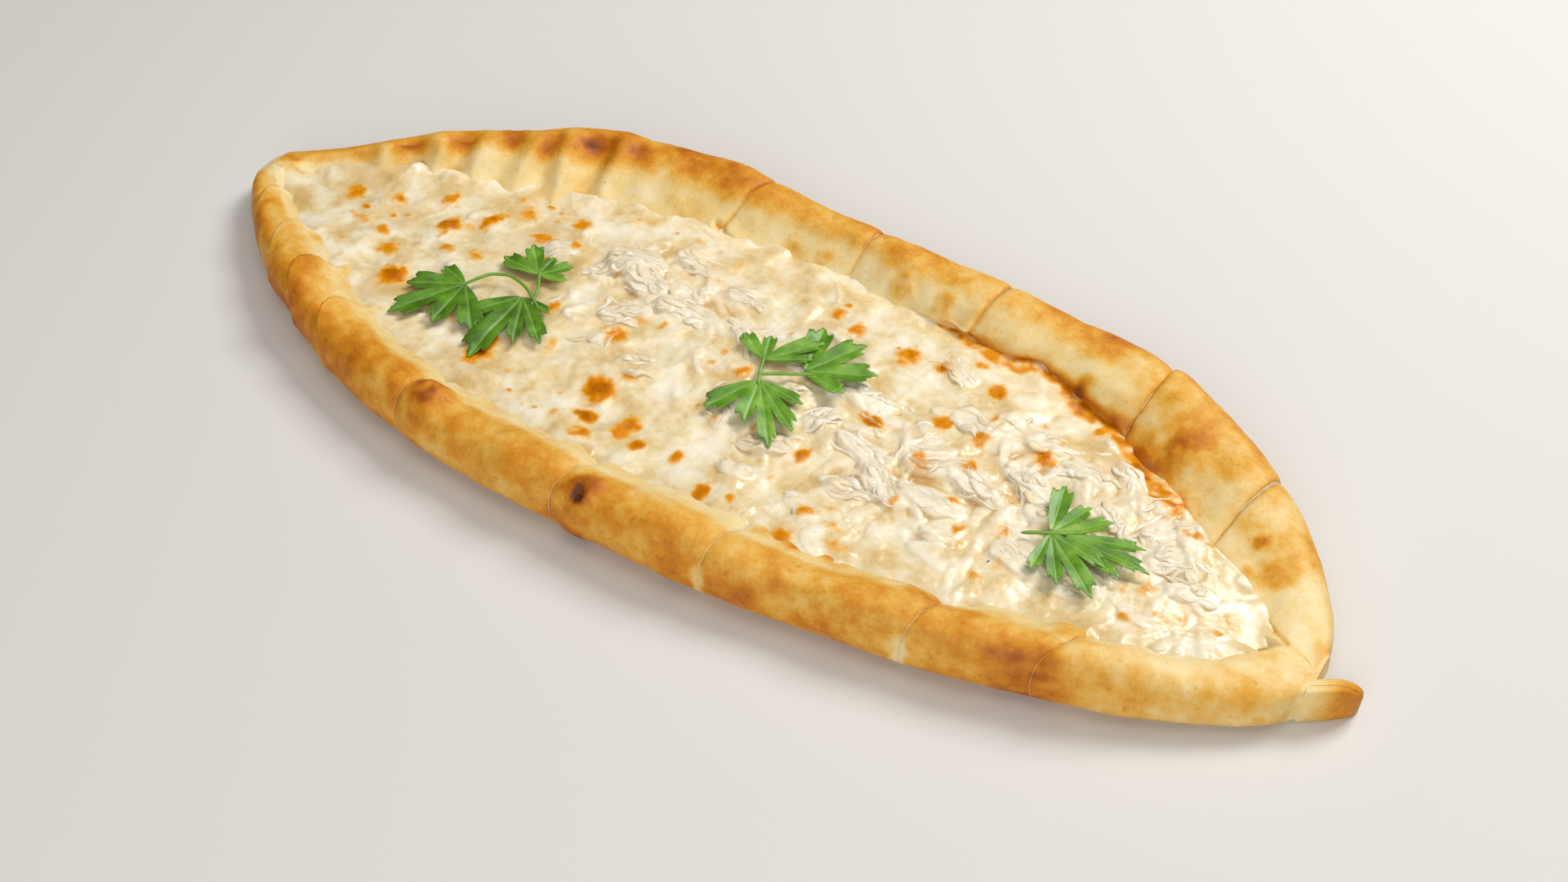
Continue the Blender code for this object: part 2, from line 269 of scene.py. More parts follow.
# %% Outline, rim and cuts
def quarter_sine(distance, run, bluntness):
    """The share of its full reach that a side has, at a distance from its end."""
    distance = np.maximum(distance, 0.0)
    rounded = np.sqrt(distance**2 + 2.0 * TIP_ROUNDING * distance)
    return np.sin(0.5 * math.pi * np.clip(rounded / run, 0.0, 1.0)) ** bluntness


def outline(x, side):
    """The y of the boat's edge at x, on the far side (+1) or the near side (-1)."""
    share = quarter_sine(x - LEFT_END, *LEFT_RUN[side]) * quarter_sine(RIGHT_END - x, *RIGHT_RUN[side])
    body = TIP_Y + side * REACH[side] * share
    into_tail = np.clip((x - TAIL_ROOT[0]) / (TAIL_END - TAIL_ROOT[0]), 0.0, 1.0)
    half = TAIL_RADIUS * np.sqrt(np.maximum(1.0 - into_tail**2.6, 0.0)) * (1.0 - 0.12 * bell(into_tail, 0.45, 0.2))
    tail = TAIL_ROOT[1] + TAIL_SLOPE * (x - TAIL_ROOT[0]) + side * half
    blend_width = 5 * MM * (1.0 - smooth(183 * MM, RIGHT_END, x)) + 1e-6
    overlap = np.clip(0.5 + 0.5 * side * (tail - body) / blend_width, 0.0, 1.0)
    wider = body + (tail - body) * overlap + side * blend_width * overlap * (1.0 - overlap)
    return np.where(x >= RIGHT_END, tail, np.where(x > TAIL_ROOT[0], wider, body))


def tip_share(x):
    """0 at the two ends and 1 along the middle."""
    return smooth(0.0, 70 * MM, x - LEFT_END) * smooth(0.0, 49 * MM, RIGHT_END - x)


def rim_width(x, side):
    """How wide the rim is, from its outer side to where it goes under the cheese."""
    full = 25.0 * MM
    if side > 0:
        full = 27.5 * MM + 12 * MM * bell(x, -95 * MM, 45 * MM) + 11 * MM * bell(x, 145 * MM, 42 * MM)
    waves = 1.8 * MM * noise(x, 0 * x, side, 15 * MM, 3) + 1.1 * MM * noise(x, 0 * x, side, 6 * MM, 4)
    share = smooth(0.0, 70 * MM, x - LEFT_END) * smooth(0.0, 14 * MM, RIGHT_END - x)
    return 14 * MM + (full + waves - 14 * MM) * share


def rim_height(x, side):
    """The height of the rim's crest."""
    waves = 0.6 * np.sin(x / (8.6 * MM) + 1.2 * side) + 0.5 * np.sin(x / (15.5 * MM) + 0.4)
    swell = 1.0 * bell(x, 66 * MM, 30 * MM) if side > 0 else 0.6 * bell(x, -20 * MM, 45 * MM)
    full = 19.9 * MM + (waves + swell) * MM
    height = 13 * MM + (full - 13 * MM) * tip_share(x)
    to_end = np.clip(np.minimum(x - LEFT_END, TAIL_END - x) / (9 * MM), 0.0, 1.0)
    end_height = height * (0.32 + 0.68 * np.sqrt(1.0 - (1.0 - to_end) ** 2))
    return end_height


def wander(y, cut):
    """How far a knife cut strays from its straight line."""
    return 0.9 * MM * noise(y, 0 * y, cut, 16 * MM, 20) + 0.35 * MM * noise(y, 0 * y, cut, 3.5 * MM, 21)


def cut_edge(cut, side_of_cut, y, gape_share=1.0):
    """The x of a cut's edge at y. The ends of the boat count as cuts 0 and 6."""
    if cut == 0:
        return np.full_like(y, LEFT_END + 0.3 * MM)
    if cut == len(CUTS) + 1:
        return np.full_like(y, TAIL_END - 0.25 * MM)
    at, slant, near_gape, far_gape = CUTS[cut - 1]
    gape = near_gape + (far_gape - near_gape) * smooth(10 * MM, 50 * MM, y)
    return at + slant * y + wander(y, cut) + 0.5 * side_of_cut * gape_share * gape


def slice_line(index, share, y, gape_share=1.0):
    """The x of the line that lies a share of the way from a slice's first cut to its second."""
    first = cut_edge(index, 1, y, gape_share)
    return first + share * (cut_edge(index + 1, -1, y, gape_share) - first)


def rim_edge(index, share, side, gape_share=1.0):
    """Where each line of a slice meets the outline, by fixed-point steps."""
    y = np.full_like(share, side * 0.05)
    for _ in range(40):
        y = outline(slice_line(index, share, y, gape_share), side)
    return y


def held_inside(points):
    """Keeps points inside the CAD box: the last 2 mm before each side are squeezed, so nothing is cut
    flat.
    """
    band = 2.0 * MM
    high = cad_high - 0.05 * MM - band
    low = cad_low + 0.05 * MM + band
    low[2] = -band
    points = np.where(points > high, high + band * np.tanh((points - high) / band), points)
    points = np.where(points < low, low - band * np.tanh((low - points) / band), points)
    return np.maximum(points, (-1.0, -1.0, 0.0))


print("half widths at the middle:", outline(np.array([0.0]), 1), outline(np.array([0.0]), -1))

# %% [markdown]
# ## What the oven and the hands left on the dough
#
# The far left flap was pleated with the fingers: pale ridges, with browned hollows between them. The near
# left edge was folded over itself in scales, each ending in a brown line. Gas in the dough blew a few
# blisters that caught the heat, and oil ran along the foot of the far rim and stained it. Each one is a
# place, a size and a strength, so one set of fields can both lift the surface and brown it. The brown along
# the creases, and the orange and pale bands over each scale, are painted shade of their relief.

# %% Places on the dough, in millimetres
# Blisters: (x, y, radius, lift, brown).
BLISTERS = [
    (-68, -69, 8.0, 1.3, 0.30),
    (-68, -70, 3.0, 0.1, 0.16),
    (-7, -73, 6.5, 1.5, 0.34),
    (-7, -74, 2.2, -1.2, 0.40),
    (130, -33, 7.0, 1.6, 0.24),
    (17, 57, 5.0, 0.8, 0.24),
    (33, 58, 4.0, 0.5, 0.28),
    (126, 43, 8.0, 1.2, 0.26),
    (115, 42, 10.0, 0.3, 0.22),
    (104, 52, 7.0, 0.3, 0.12),
    (166, 17, 6.5, 0.6, 0.38),
    (158, 24, 3.5, 0.5, 0.30),
    (159, 14, 3.5, 0.3, 0.26),
    (86, 67, 8.0, 0.4, 0.14),
    (-101, -65, 6.0, 0.3, 0.14),
    (52, -48, 8.0, 0.5, 0.36),
    (40, -50, 5.0, 0.3, 0.26),
    (64, -47, 5.0, 0.3, 0.26),
    (95, -45, 5.0, 0.4, 0.34),
    (88, -46, 4.0, 0.2, 0.26),
    (86, 52, 4.0, 0.2, 0.40),
    (-95, 60, 9.0, 0.3, 0.14),
    (-80, 71, 8.0, 0.3, 0.14),
    (-54, 66, 10.0, 0.3, 0.14),
    (-24, 55, 5.0, 0.3, 0.26),
    (-12, 57, 4.0, 0.3, 0.24),
    (-118, 46, 7.0, 0.2, 0.22),
    (75, -66, 9.0, 0.3, 0.14),
    (128, -52, 12.0, 0.3, 0.16),
    (-176, -30, 5.0, 0.3, 0.18),
    (-128, -45, 5.0, 0.6, 0.14),
    (-190, -8, 6.0, 0.2, 0.20),
]
OIL_STAIN = [(12, 59), (24, 60), (34, 58), (40, 56), (50, 53), (59, 50), (69, 54), (78, 53), (86, 48), (96, 46)]
OIL_STAIN = OIL_STAIN + [(104, 45), (112, 38), (119, 31), (126, 27), (134, 25)]
FLAP_CREASE = [(160, 8), (164, 4), (171, 2), (179, -3)]
FAR_CREASE = [(-52, 52), (-46, 50), (-38, 49), (-32, 46), (-27, 48)]
SCRATCHES = [(-40, -51), (-30, -53), (-18, -52.5), (-6, -54), (4, -53)]
PLEAT_PITCH = 13.6 * MM
FIRST_PLEAT = -162 * MM
SCALE_PITCH = 21 * MM
FIRST_SCALE = -137 * MM


def pleat_hollow(x, inset, side):
    """1 in the hollow between two pleats and 0 on their ridges, on the far left flap only."""
    if side < 0:
        return np.zeros_like(x)
    lean = x - 0.22 * inset + 2.6 * MM * noise(x, inset, 0 * x, 13 * MM, 31)
    wave = 0.5 + 0.5 * np.cos(2.0 * math.pi * (lean - FIRST_PLEAT) / PLEAT_PITCH)
    reach = smooth(-184 * MM, -168 * MM, x) * (1.0 - smooth(-100 * MM, -80 * MM, x))
    deep = 0.8 + 0.35 * noise(x, 0 * x, 0 * x, 15 * MM, 32)
    return reach * deep * wave ** (1.3 - 0.02 * np.minimum(inset / MM, 30.0)) * smooth(4 * MM, 15 * MM, inset)


def scale_share(x, inset, side):
    """How far along its fold a point is, from 0 to 1, and how strongly the near left folds show there."""
    if side > 0:
        return np.zeros_like(x), np.zeros_like(x)
    bow = 8 * MM * np.sin(math.pi * np.clip(inset / (19 * MM), 0, 1))
    bowed = x + bow + 2.0 * MM * noise(x, inset, 0 * x, 9 * MM, 33)
    along = ((bowed - FIRST_SCALE) / SCALE_PITCH) % 1.0
    reach = smooth(-197 * MM, -188 * MM, x) * (1.0 - smooth(-126 * MM, -106 * MM, x))
    return along, reach * (0.35 + 0.65 * smooth(1 * MM, 8 * MM, inset))


def dough_relief(x, y, z, inset, side, width):
    """How far the dough stands out from its smooth form, how brown it is from 0 to 1 with painted shade in its creases
    and folds, and how oily.
    """
    crest = np.clip(inset / CREST_INSET, 0, 1)
    inner = smooth(CREST_INSET, width, inset)
    relief = 0.95 * noise(x, y, z, 27 * MM, 40) + 0.65 * noise(x, y, z, 12 * MM, 41)
    relief = relief + 0.20 * noise(x, y, z, 4.6 * MM, 42) + 0.06 * noise(x, y, z, 1.6 * MM, 43)
    relief = relief + 0.06 * noise(x, y, z, (7 * MM, 1.3 * MM, 1.3 * MM), 44) - 0.45
    relief = relief + inner * (0.7 * noise(x, y, z, 9 * MM, 45) + 0.3 * noise(x, y, z, 4 * MM, 46))

    side_tone = 0.50 if side < 0 else 0.48
    outer_tone = side_tone - 0.16 * smooth(110 * MM, 180 * MM, x) + 0.10 * bell(x, -190 * MM, 40 * MM)
    crest_tone = 0.40 + 0.08 * bell(x, -60 * MM, 50 * MM) - 0.18 * smooth(90 * MM, 170 * MM, x)
    inner_tone = 0.13 if side > 0 else 0.16
    brown = outer_tone + (crest_tone - outer_tone) * smooth(0.25, 1.0, crest)
    brown = brown + (inner_tone - brown) * smooth(0.0, 0.6, inner)
    mottle = 0.15 * noise(x, y, z, 19 * MM, 50) + 0.12 * noise(x, y, z, 8 * MM, 51)
    mottle = mottle + 0.05 * noise(x, y, z, 3 * MM, 52)
    brown = brown + mottle * (1.0 - 0.4 * inner)

    hollow = pleat_hollow(x, inset, side)
    relief = relief - 4.2 * hollow * (1.0 - 0.35 * smooth(0.75, 1.0, inner)) + 1.3 * smooth(-182 * MM, -160 * MM, x) * (
        1.0 - smooth(-104 * MM, -80 * MM, x)
    ) * (side > 0)
    near_crest = bell(inset, 10 * MM, 8 * MM)
    brown = brown + hollow * (0.40 * near_crest + 0.12) * (0.8 + 0.6 * noise(x, y, z, 7 * MM, 53))

    along, folds = scale_share(x, inset, side)
    step_up = smooth(0.0, 0.07, along)
    relief = relief + folds * 3.8 * (step_up * (1.0 - along) ** 1.1 - 0.42)
    # Each scale ends in its own brown line. The orange band just behind it and the paler rest of the scale are painted
    # shading of the fold's relief.
    brown = brown + folds * (0.34 * bell(along, 0.015, 0.05) + 0.14 * bell(along, 0.28, 0.16) - 0.06)

    for x_at, y_at, radius, lift, amount in BLISTERS:
        blur_edge = 0.32 * radius * noise(x, y, z, 0.6 * radius * MM, int(radius))
        far = np.hypot(x / MM - x_at, y / MM - y_at) + blur_edge
        blister = 1.0 - smooth(0.2 * radius, 1.25 * radius, far)
        relief = relief + lift * blister * (1.0 + 0.20 * noise(x, y, z, 1.3 * MM, 60))
        brown = brown + amount * blister * (1.0 + 0.45 * noise(x, y, z, 2.6 * MM, 61))

    thick = 1.2 + 2.2 * smooth(72, 92, x / MM) * (1.0 - smooth(126, 136, x / MM))
    stain_width = thick * (1.0 + 0.55 * noise(x, y, 0 * x, 7 * MM, 70))
    to_stain = away_from_line(x / MM, y / MM, OIL_STAIN)
    low_down = 1.0 - smooth(11.5 * MM, 15.5 * MM, z)
    oil = (1.0 - smooth(0.5 * stain_width, 1.3 * stain_width + 1.2, to_stain)) * low_down * (side > 0)
    oil = np.maximum(oil, 0.55 * low_down * smooth(10, 60, x / MM) * (1 - smooth(128, 140, x / MM)) * (side > 0) * inner)
    brown = brown + 0.55 * oil * (0.8 + 0.5 * noise(x, y, z, 4 * MM, 71))

    # Creases and scratches: a groove with a brown line along it. Along the scratches the brown is their own colour;
    # along the creases it is painted shade in the fold.
    for crease, deep in ((FLAP_CREASE, 1.6), (FAR_CREASE, 1.9), (SCRATCHES, 0.5)):
        gap = away_from_line(x / MM, y / MM, crease) + 0.5 * noise(x, y, z, 3 * MM, 73)
        relief = relief - deep * bell(gap, 0.0, 0.8) + 0.4 * deep * bell(gap, 0.0, 3.4)
        brown = brown + 0.34 * bell(gap, 0.0, 0.8)

    tail_tip = smooth(188 * MM, 201 * MM, x)
    brown = brown + 0.42 * tail_tip
    return relief, brown, oil


print("blisters:", len(BLISTERS), "pleats:", round(100 * MM / PLEAT_PITCH), "folds:", round(80 * MM / SCALE_PITCH))

# %% [markdown]
# ## The dough's surface
#
# Each slice of dough is one closed tube. Its rows run from one cut to the next, and its columns run round
# the section: along the bottom, up over the near rim, under the cheese, and over the far rim. The relief
# then moves each point along its own normal, so folds and blisters overhang as real ones do.

# %% Dough section and slices
ROW_STEP = 0.60 * MM
RIM_COLUMNS = 78
FLOOR_COLUMNS = 7


def rim_section(x, edge_y, side, width, height, openness, under):
    """The rim's section: inset, height and y for each row, over columns from the bottom round to under
    the cheese.

    The outer part is a superellipse. The inner slope falls as a cosine from the crest, and flattens out
    towards the cheese. Where the far rim overhangs its oily foot, the slope stays high and then tucks
    back under.
    """
    turn = np.linspace(0.0, 1.0, RIM_COLUMNS)[None, :]
    outer = np.minimum(CREST_INSET, 0.5 * width)[:, None]
    x, width, height = x[:, None], width[:, None], height[:, None]
    openness, under = openness[:, None], under[:, None]
    angle = math.pi * (np.clip(turn / 0.52, 0, 1) - 0.5)
    lowest = 0.4 * height
    climb = np.where(angle > 0, height - lowest, lowest)
    outer_inset = outer * (1.0 - np.maximum(np.cos(angle), 0.0) ** 0.8)
    outer_z = lowest + climb * np.sin(angle)
    along = np.clip((turn - 0.52) / 0.48, 0, 1)
    inset = np.where(turn <= 0.52, outer_inset, outer + (width + under - outer) * along)
    down = np.clip((inset - outer) / np.maximum(width - outer, 1e-6), 0, 1)
    foot = INNER_EDGE[side] + (height - INNER_EDGE[side]) * (1.0 - openness)
    overhang = (side > 0) * smooth(12 * MM, 40 * MM, x) * (1.0 - smooth(96 * MM, 116 * MM, x))
    lip = np.cos(0.5 * math.pi * down) ** 0.62
    slope = 0.45 * np.cos(0.5 * math.pi * down) ** 1.1 + 0.55 * (1.0 - smooth(0.0, 1.0, down))
    slope_z = foot + (height - foot) * (slope + (lip - slope) * overhang)
    beyond = np.clip((inset - width) / np.maximum(under, 1e-6), 0, 1)
    slope_z = slope_z - (foot - np.minimum(foot, BASE_TOP + 1.5 * MM)) * beyond * openness
    tuck = 2.0 * MM * overhang * smooth(0.90, 1.0, down) * openness
    scallop = 1.0 + 0.35 * np.sin(x / (3.3 * MM)) + 0.3 * np.sin(x / (5.1 * MM))
    reach = inset - tuck * scallop * (1.0 - 0.6 * beyond)
    return inset, np.where(turn <= 0.52, outer_z, slope_z), edge_y[:, None] - side * reach


def dough_grid(index):
    """The points of a slice of dough, with its relief, and the values for its material."""
    length = float(np.diff(slice_line(index, np.array([0.0, 1.0]), np.array([TIP_Y, TIP_Y])))[0])
    share = np.linspace(0.0, 1.0, max(40, round(length / ROW_STEP)))
    if index == 0:
        share = 0.35 * share**2.0 + 0.65 * share
    edges = {side: rim_edge(index, share, side) for side in (-1, 1)}
    across = edges[1] - edges[-1]
    places = {}
    for side in (-1, 1):
        x = slice_line(index, share, edges[side])
        width = np.minimum(rim_width(x, side), 0.5 * across - 0.01 * MM)
        places[side] = (x, width, rim_height(x, side))
    trough = across - places[1][1] - places[-1][1]
    openness = smooth(1 * MM, 16 * MM, trough)
    under = np.clip(0.4 * trough, 0.0, 6 * MM)
    sections = {}
    for side in (-1, 1):
        x, width, height = places[side]
        sections[side] = rim_section(x, edges[side], side, width, height, openness, under)
    bottom_share = np.linspace(0, 1, FLOOR_COLUMNS)[None, 1:-1]

    def join(first, second):
        return first[:, None] + (second - first)[:, None] * bottom_share

    near_inset, near_z, near_y = sections[-1]
    far_inset, far_z, far_y = sections[1]
    y = np.hstack([near_y, join(near_y[:, -1], far_y[:, -1]), far_y[:, ::-1], join(far_y[:, 0], near_y[:, 0])])
    z = np.hstack([near_z, join(near_z[:, -1], far_z[:, -1]), far_z[:, ::-1], join(far_z[:, 0], near_z[:, 0])])
    x = slice_line(index, share[:, None], y)
    grid = np.stack([x, y, z], -1)

    lift = np.zeros_like(x)
    brown = np.full_like(x, 0.3)
    oil = np.zeros_like(x)
    first_gap = np.abs(x - slice_line(index, 0.0, y)) if index > 0 else np.full_like(x, 1.0)
    second_gap = np.abs(x - slice_line(index, 1.0, y)) if index < len(CUTS) else np.full_like(x, 1.0)
    to_cut = np.minimum(first_gap, second_gap)
    torn = 1.6 * MM * (1.0 + 0.8 * noise(x, y, z, 3 * MM, 77))
    far_start = RIM_COLUMNS + FLOOR_COLUMNS - 2
    spans = {-1: slice(0, RIM_COLUMNS), 1: slice(far_start, far_start + RIM_COLUMNS)}
    for side, inset in ((-1, near_inset), (1, far_inset[:, ::-1])):
        span = spans[side]
        width = places[side][1][:, None]
        relief, tone, oily = dough_relief(x[:, span], y[:, span], z[:, span], inset, side, width)
        if side > 0:
            relief = relief + FAR_STEPS[index] * (1.0 - smooth(6 * MM, 20 * MM, inset))
            tone = tone + 0.16 * np.exp(-to_cut[:, span] / (0.5 * MM))
        else:
            pale = np.exp(-((to_cut[:, span] / torn[:, span]) ** 2)) * (1.0 - smooth(10 * MM, 17 * MM, z[:, span]))
            tone = tone - 0.42 * pale * (x[:, span] > 15 * MM) * (x[:, span] < 115 * MM)
        lift[:, span] = relief * smooth(0.5 * MM, 5 * MM, z[:, span]) * (0.35 + 0.65 * tip_share(x[:, span]))
        brown[:, span] = tone
        oil[:, span] = oily

    rounding = 0.9 * np.exp(-to_cut / (1.0 * MM)) + 0.35 * np.exp(-to_cut / (4.0 * MM))
    lift = lift - rounding * smooth(3 * MM, 8 * MM, z)
    grid = grid + grid_normals(grid, True) * (lift * MM)[..., None]
    return held_inside(grid), {"brown": np.clip(brown, 0, 1), "oil": np.clip(oil, 0, 1)}


print("rows in the first slice:", dough_grid(0)[0].shape[0])

# %% [markdown]
# ## Baked dough as a material
#
# Bread dough browns from cream through gold to a reddish brown, and its skin is a dry satin with the
# finest wrinkles. The points already hold how brown they are, with painted shade along the creases and
# folds; the material breaks that up with finer noise, so no edge of a patch is clean. Dark specks are
# scorched flour, and pale ones are flour from the board, low on the sides.

# %% Material: baked bread dough, oven-browned
dough, shader, coordinates = new_material("baked bread dough, oven-browned")
stored_brown = add_node(dough, "ShaderNodeAttribute", attribute_name="brown").outputs["Fac"]
brown_value_noise = add_node(
    dough,
    "ShaderNodeTexNoise",
    {"Vector": coordinates, "Scale": 1.0 / (5.0 * MM), "Detail": 5.0},
).outputs["Fac"]
brown_value_share = add_node(
    dough,
    "ShaderNodeMapRange",
    {"Value": brown_value_noise, "From Min": 0.3, "From Max": 0.7, "To Min": -0.09, "To Max": 0.09},
).outputs["Result"]
brown_value_noise_2 = add_node(
    dough,
    "ShaderNodeTexNoise",
    {"Vector": coordinates, "Scale": 1.0 / (1.3 * MM), "Detail": 3.0},
).outputs["Fac"]
brown_value_share_2 = add_node(
    dough,
    "ShaderNodeMapRange",
    {"Value": brown_value_noise_2, "From Min": 0.3, "From Max": 0.7, "To Min": -0.04, "To Max": 0.04},
).outputs["Result"]
brown_value_sum = add_node(
    dough,
    "ShaderNodeMath",
    {0: stored_brown, 1: brown_value_share},
    operation="ADD",
).outputs[0]
brown_value = add_node(
    dough,
    "ShaderNodeMath",
    {0: brown_value_sum, 1: brown_value_share_2},
    operation="ADD",
).outputs[0]
browned = add_node(
    dough,
    "ShaderNodeValToRGB",
    {"Fac": brown_value},
    stops=[
        (0.0, "#EDDAA9"),
        (0.2, "#E9C984"),
        (0.4, "#E1A944"),
        (0.56, "#D2891C"),
        (0.74, "#B5620A"),
        (1.0, "#5A2C08"),
    ],
).outputs["Color"]
specks_noise = add_node(
    dough,
    "ShaderNodeTexNoise",
    {"Vector": coordinates, "Scale": 1.0 / (1.3 * MM), "Detail": 1.0},
).outputs["Fac"]
specks = add_node(
    dough,
    "ShaderNodeMapRange",
    {"Value": specks_noise, "From Min": 0.74, "From Max": 0.80, "To Min": 0.0, "To Max": 0.45},
).outputs["Result"]
speckled = add_node(
    dough,
    "ShaderNodeMix",
    {0: specks, 6: browned, 7: linear("#8A5A28")},
    data_type="RGBA",
).outputs[2]
flour_patches_noise = add_node(
    dough,
    "ShaderNodeTexNoise",
    {"Vector": coordinates, "Scale": 1.0 / (9.0 * MM), "Detail": 2.0},
).outputs["Fac"]
flour_patches = add_node(
    dough,
    "ShaderNodeMapRange",
    {"Value": flour_patches_noise, "From Min": 0.50, "From Max": 0.66, "To Min": 0.0, "To Max": 1.0},
).outputs["Result"]
flour_dust_noise = add_node(
    dough,
    "ShaderNodeTexNoise",
    {"Vector": coordinates, "Scale": 1.0 / (0.55 * MM), "Detail": 2.0},
).outputs["Fac"]
flour_dust = add_node(
    dough,
    "ShaderNodeMapRange",
    {"Value": flour_dust_noise, "From Min": 0.60, "From Max": 0.70, "To Min": 0.0, "To Max": 0.5},
).outputs["Result"]
height = add_node(dough, "ShaderNodeSeparateXYZ", {"Vector": coordinates}).outputs["Z"]
low_down = add_node(
    dough,
    "ShaderNodeMapRange",
    {"Value": height, "From Min": 5 * MM, "From Max": 14 * MM, "To Min": 1.0, "To Max": 0.0},
).outputs["Result"]
flour = add_node(dough, "ShaderNodeMath", {0: flour_patches, 1: flour_dust}, operation="MULTIPLY").outputs[0]
flour = add_node(dough, "ShaderNodeMath", {0: flour, 1: low_down}, operation="MULTIPLY").outputs[0]
dusted = add_node(
    dough,
    "ShaderNodeMix",
    {0: flour, 6: speckled, 7: linear("#F3E8D2")},
    data_type="RGBA",
).outputs[2]
stored_oil = add_node(dough, "ShaderNodeAttribute", attribute_name="oil").outputs["Fac"]
oiled_share = add_node(
    dough,
    "ShaderNodeMapRange",
    {"Value": stored_oil, "From Min": 0.2, "From Max": 1.0, "To Min": 0.0, "To Max": 0.45},
).outputs["Result"]
oiled = add_node(
    dough,
    "ShaderNodeMix",
    {0: oiled_share, 6: dusted, 7: linear("#B0600F")},
    data_type="RGBA",
).outputs[2]
dough.node_tree.links.new(oiled, shader.inputs["Base Color"])
satin_noise = add_node(
    dough,
    "ShaderNodeTexNoise",
    {"Vector": coordinates, "Scale": 1.0 / (6.0 * MM), "Detail": 2.0},
).outputs["Fac"]
satin = add_node(
    dough,
    "ShaderNodeMapRange",
    {"Value": satin_noise, "From Min": 0.3, "From Max": 0.7, "To Min": 0.50, "To Max": 0.66},
).outputs["Result"]
oily = add_node(
    dough,
    "ShaderNodeMapRange",
    {"Value": stored_oil, "From Min": 0.1, "From Max": 0.9, "To Min": 0.0, "To Max": -0.22},
).outputs["Result"]
roughness_sum = add_node(dough, "ShaderNodeMath", {0: satin, 1: oily}, operation="ADD").outputs[0]
dough.node_tree.links.new(roughness_sum, shader.inputs["Roughness"])
skin_noise = add_node(
    dough,
    "ShaderNodeTexNoise",
    {"Vector": coordinates, "Scale": 1.0 / (0.9 * MM), "Detail": 4.0},
).outputs["Fac"]
skin_noise_2 = add_node(
    dough,
    "ShaderNodeTexNoise",
    {"Vector": coordinates, "Scale": 1.0 / (0.35 * MM), "Detail": 2.0},
).outputs["Fac"]
skin = add_node(dough, "ShaderNodeMath", {0: skin_noise, 1: skin_noise_2}, operation="ADD").outputs[0]
skin_bump = add_node(dough, "ShaderNodeBump", {"Height": skin, "Strength": 0.22, "Distance": 0.16 * MM})
dough.node_tree.links.new(skin_bump.outputs["Normal"], shader.inputs["Normal"])
shader.inputs["Subsurface Weight"].default_value = 0.08
shader.inputs["Subsurface Scale"].default_value = 1.5 * MM
shader.inputs["Specular IOR Level"].default_value = 0.3

# %% Material: cut bread crumb, pale and open
crumb, shader, coordinates = new_material("cut bread crumb, pale and open")
crumb_value = add_node(
    crumb,
    "ShaderNodeTexNoise",
    {"Vector": coordinates, "Scale": 1.0 / (1.6 * MM), "Detail": 3.0},
).outputs["Fac"]
crumb_colour = add_node(
    crumb,
    "ShaderNodeValToRGB",
    {"Fac": crumb_value},
    stops=[(0.30, "#D9BE8A"), (0.55, "#F1E4C6"), (1.0, "#F7EFDC")],
).outputs["Color"]
crumb.node_tree.links.new(crumb_colour, shader.inputs["Base Color"])
crumb_bump = add_node(crumb, "ShaderNodeBump", {"Height": crumb_value, "Strength": 0.5, "Distance": 0.4 * MM})
crumb.node_tree.links.new(crumb_bump.outputs["Normal"], shader.inputs["Normal"])
shader.inputs["Roughness"].default_value = 0.85

# %% Build the slices of dough
dough_count = 0
for index in range(len(CUTS) + 1):
    grid, values = dough_grid(index)
    is_cut = (index > 0, index < len(CUTS))
    piece = loft_piece(f"baked_dough_slice_{index + 1}", grid, values, [dough, crumb], is_cut)
    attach(piece, "root")
    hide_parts(f"crust_slice_{index + 1}")
    dough_count += 2 * len(piece.data.polygons)
print("dough triangles:", dough_count)

# %% [markdown]
# ## The cheese's height
#
# Melted cheese lies over pulled chicken like a thick blanket: it follows the meat where it is thin and
# smooths it where it is thick. So the meat is stamped into a raster first: ragged flakes, tilted and
# ridged along their fibres, and single strands with a half-round ridge. Then the raster is blurred a lot
# where the cheese is thick and a little where it is thin. What lies deeper than its surroundings is a
# crevice, and its colour is darkened to amber there as painted shade.

# %% Raster of the strands under the cheese
CELL = 0.4 * MM
RASTER_X = np.arange(-205 * MM, 200 * MM, CELL)
RASTER_Y = np.arange(-80 * MM, 75 * MM, CELL)
raster_x, raster_y = np.meshgrid(RASTER_X, RASTER_Y, indexing="ij")
flat = np.zeros_like(raster_x)

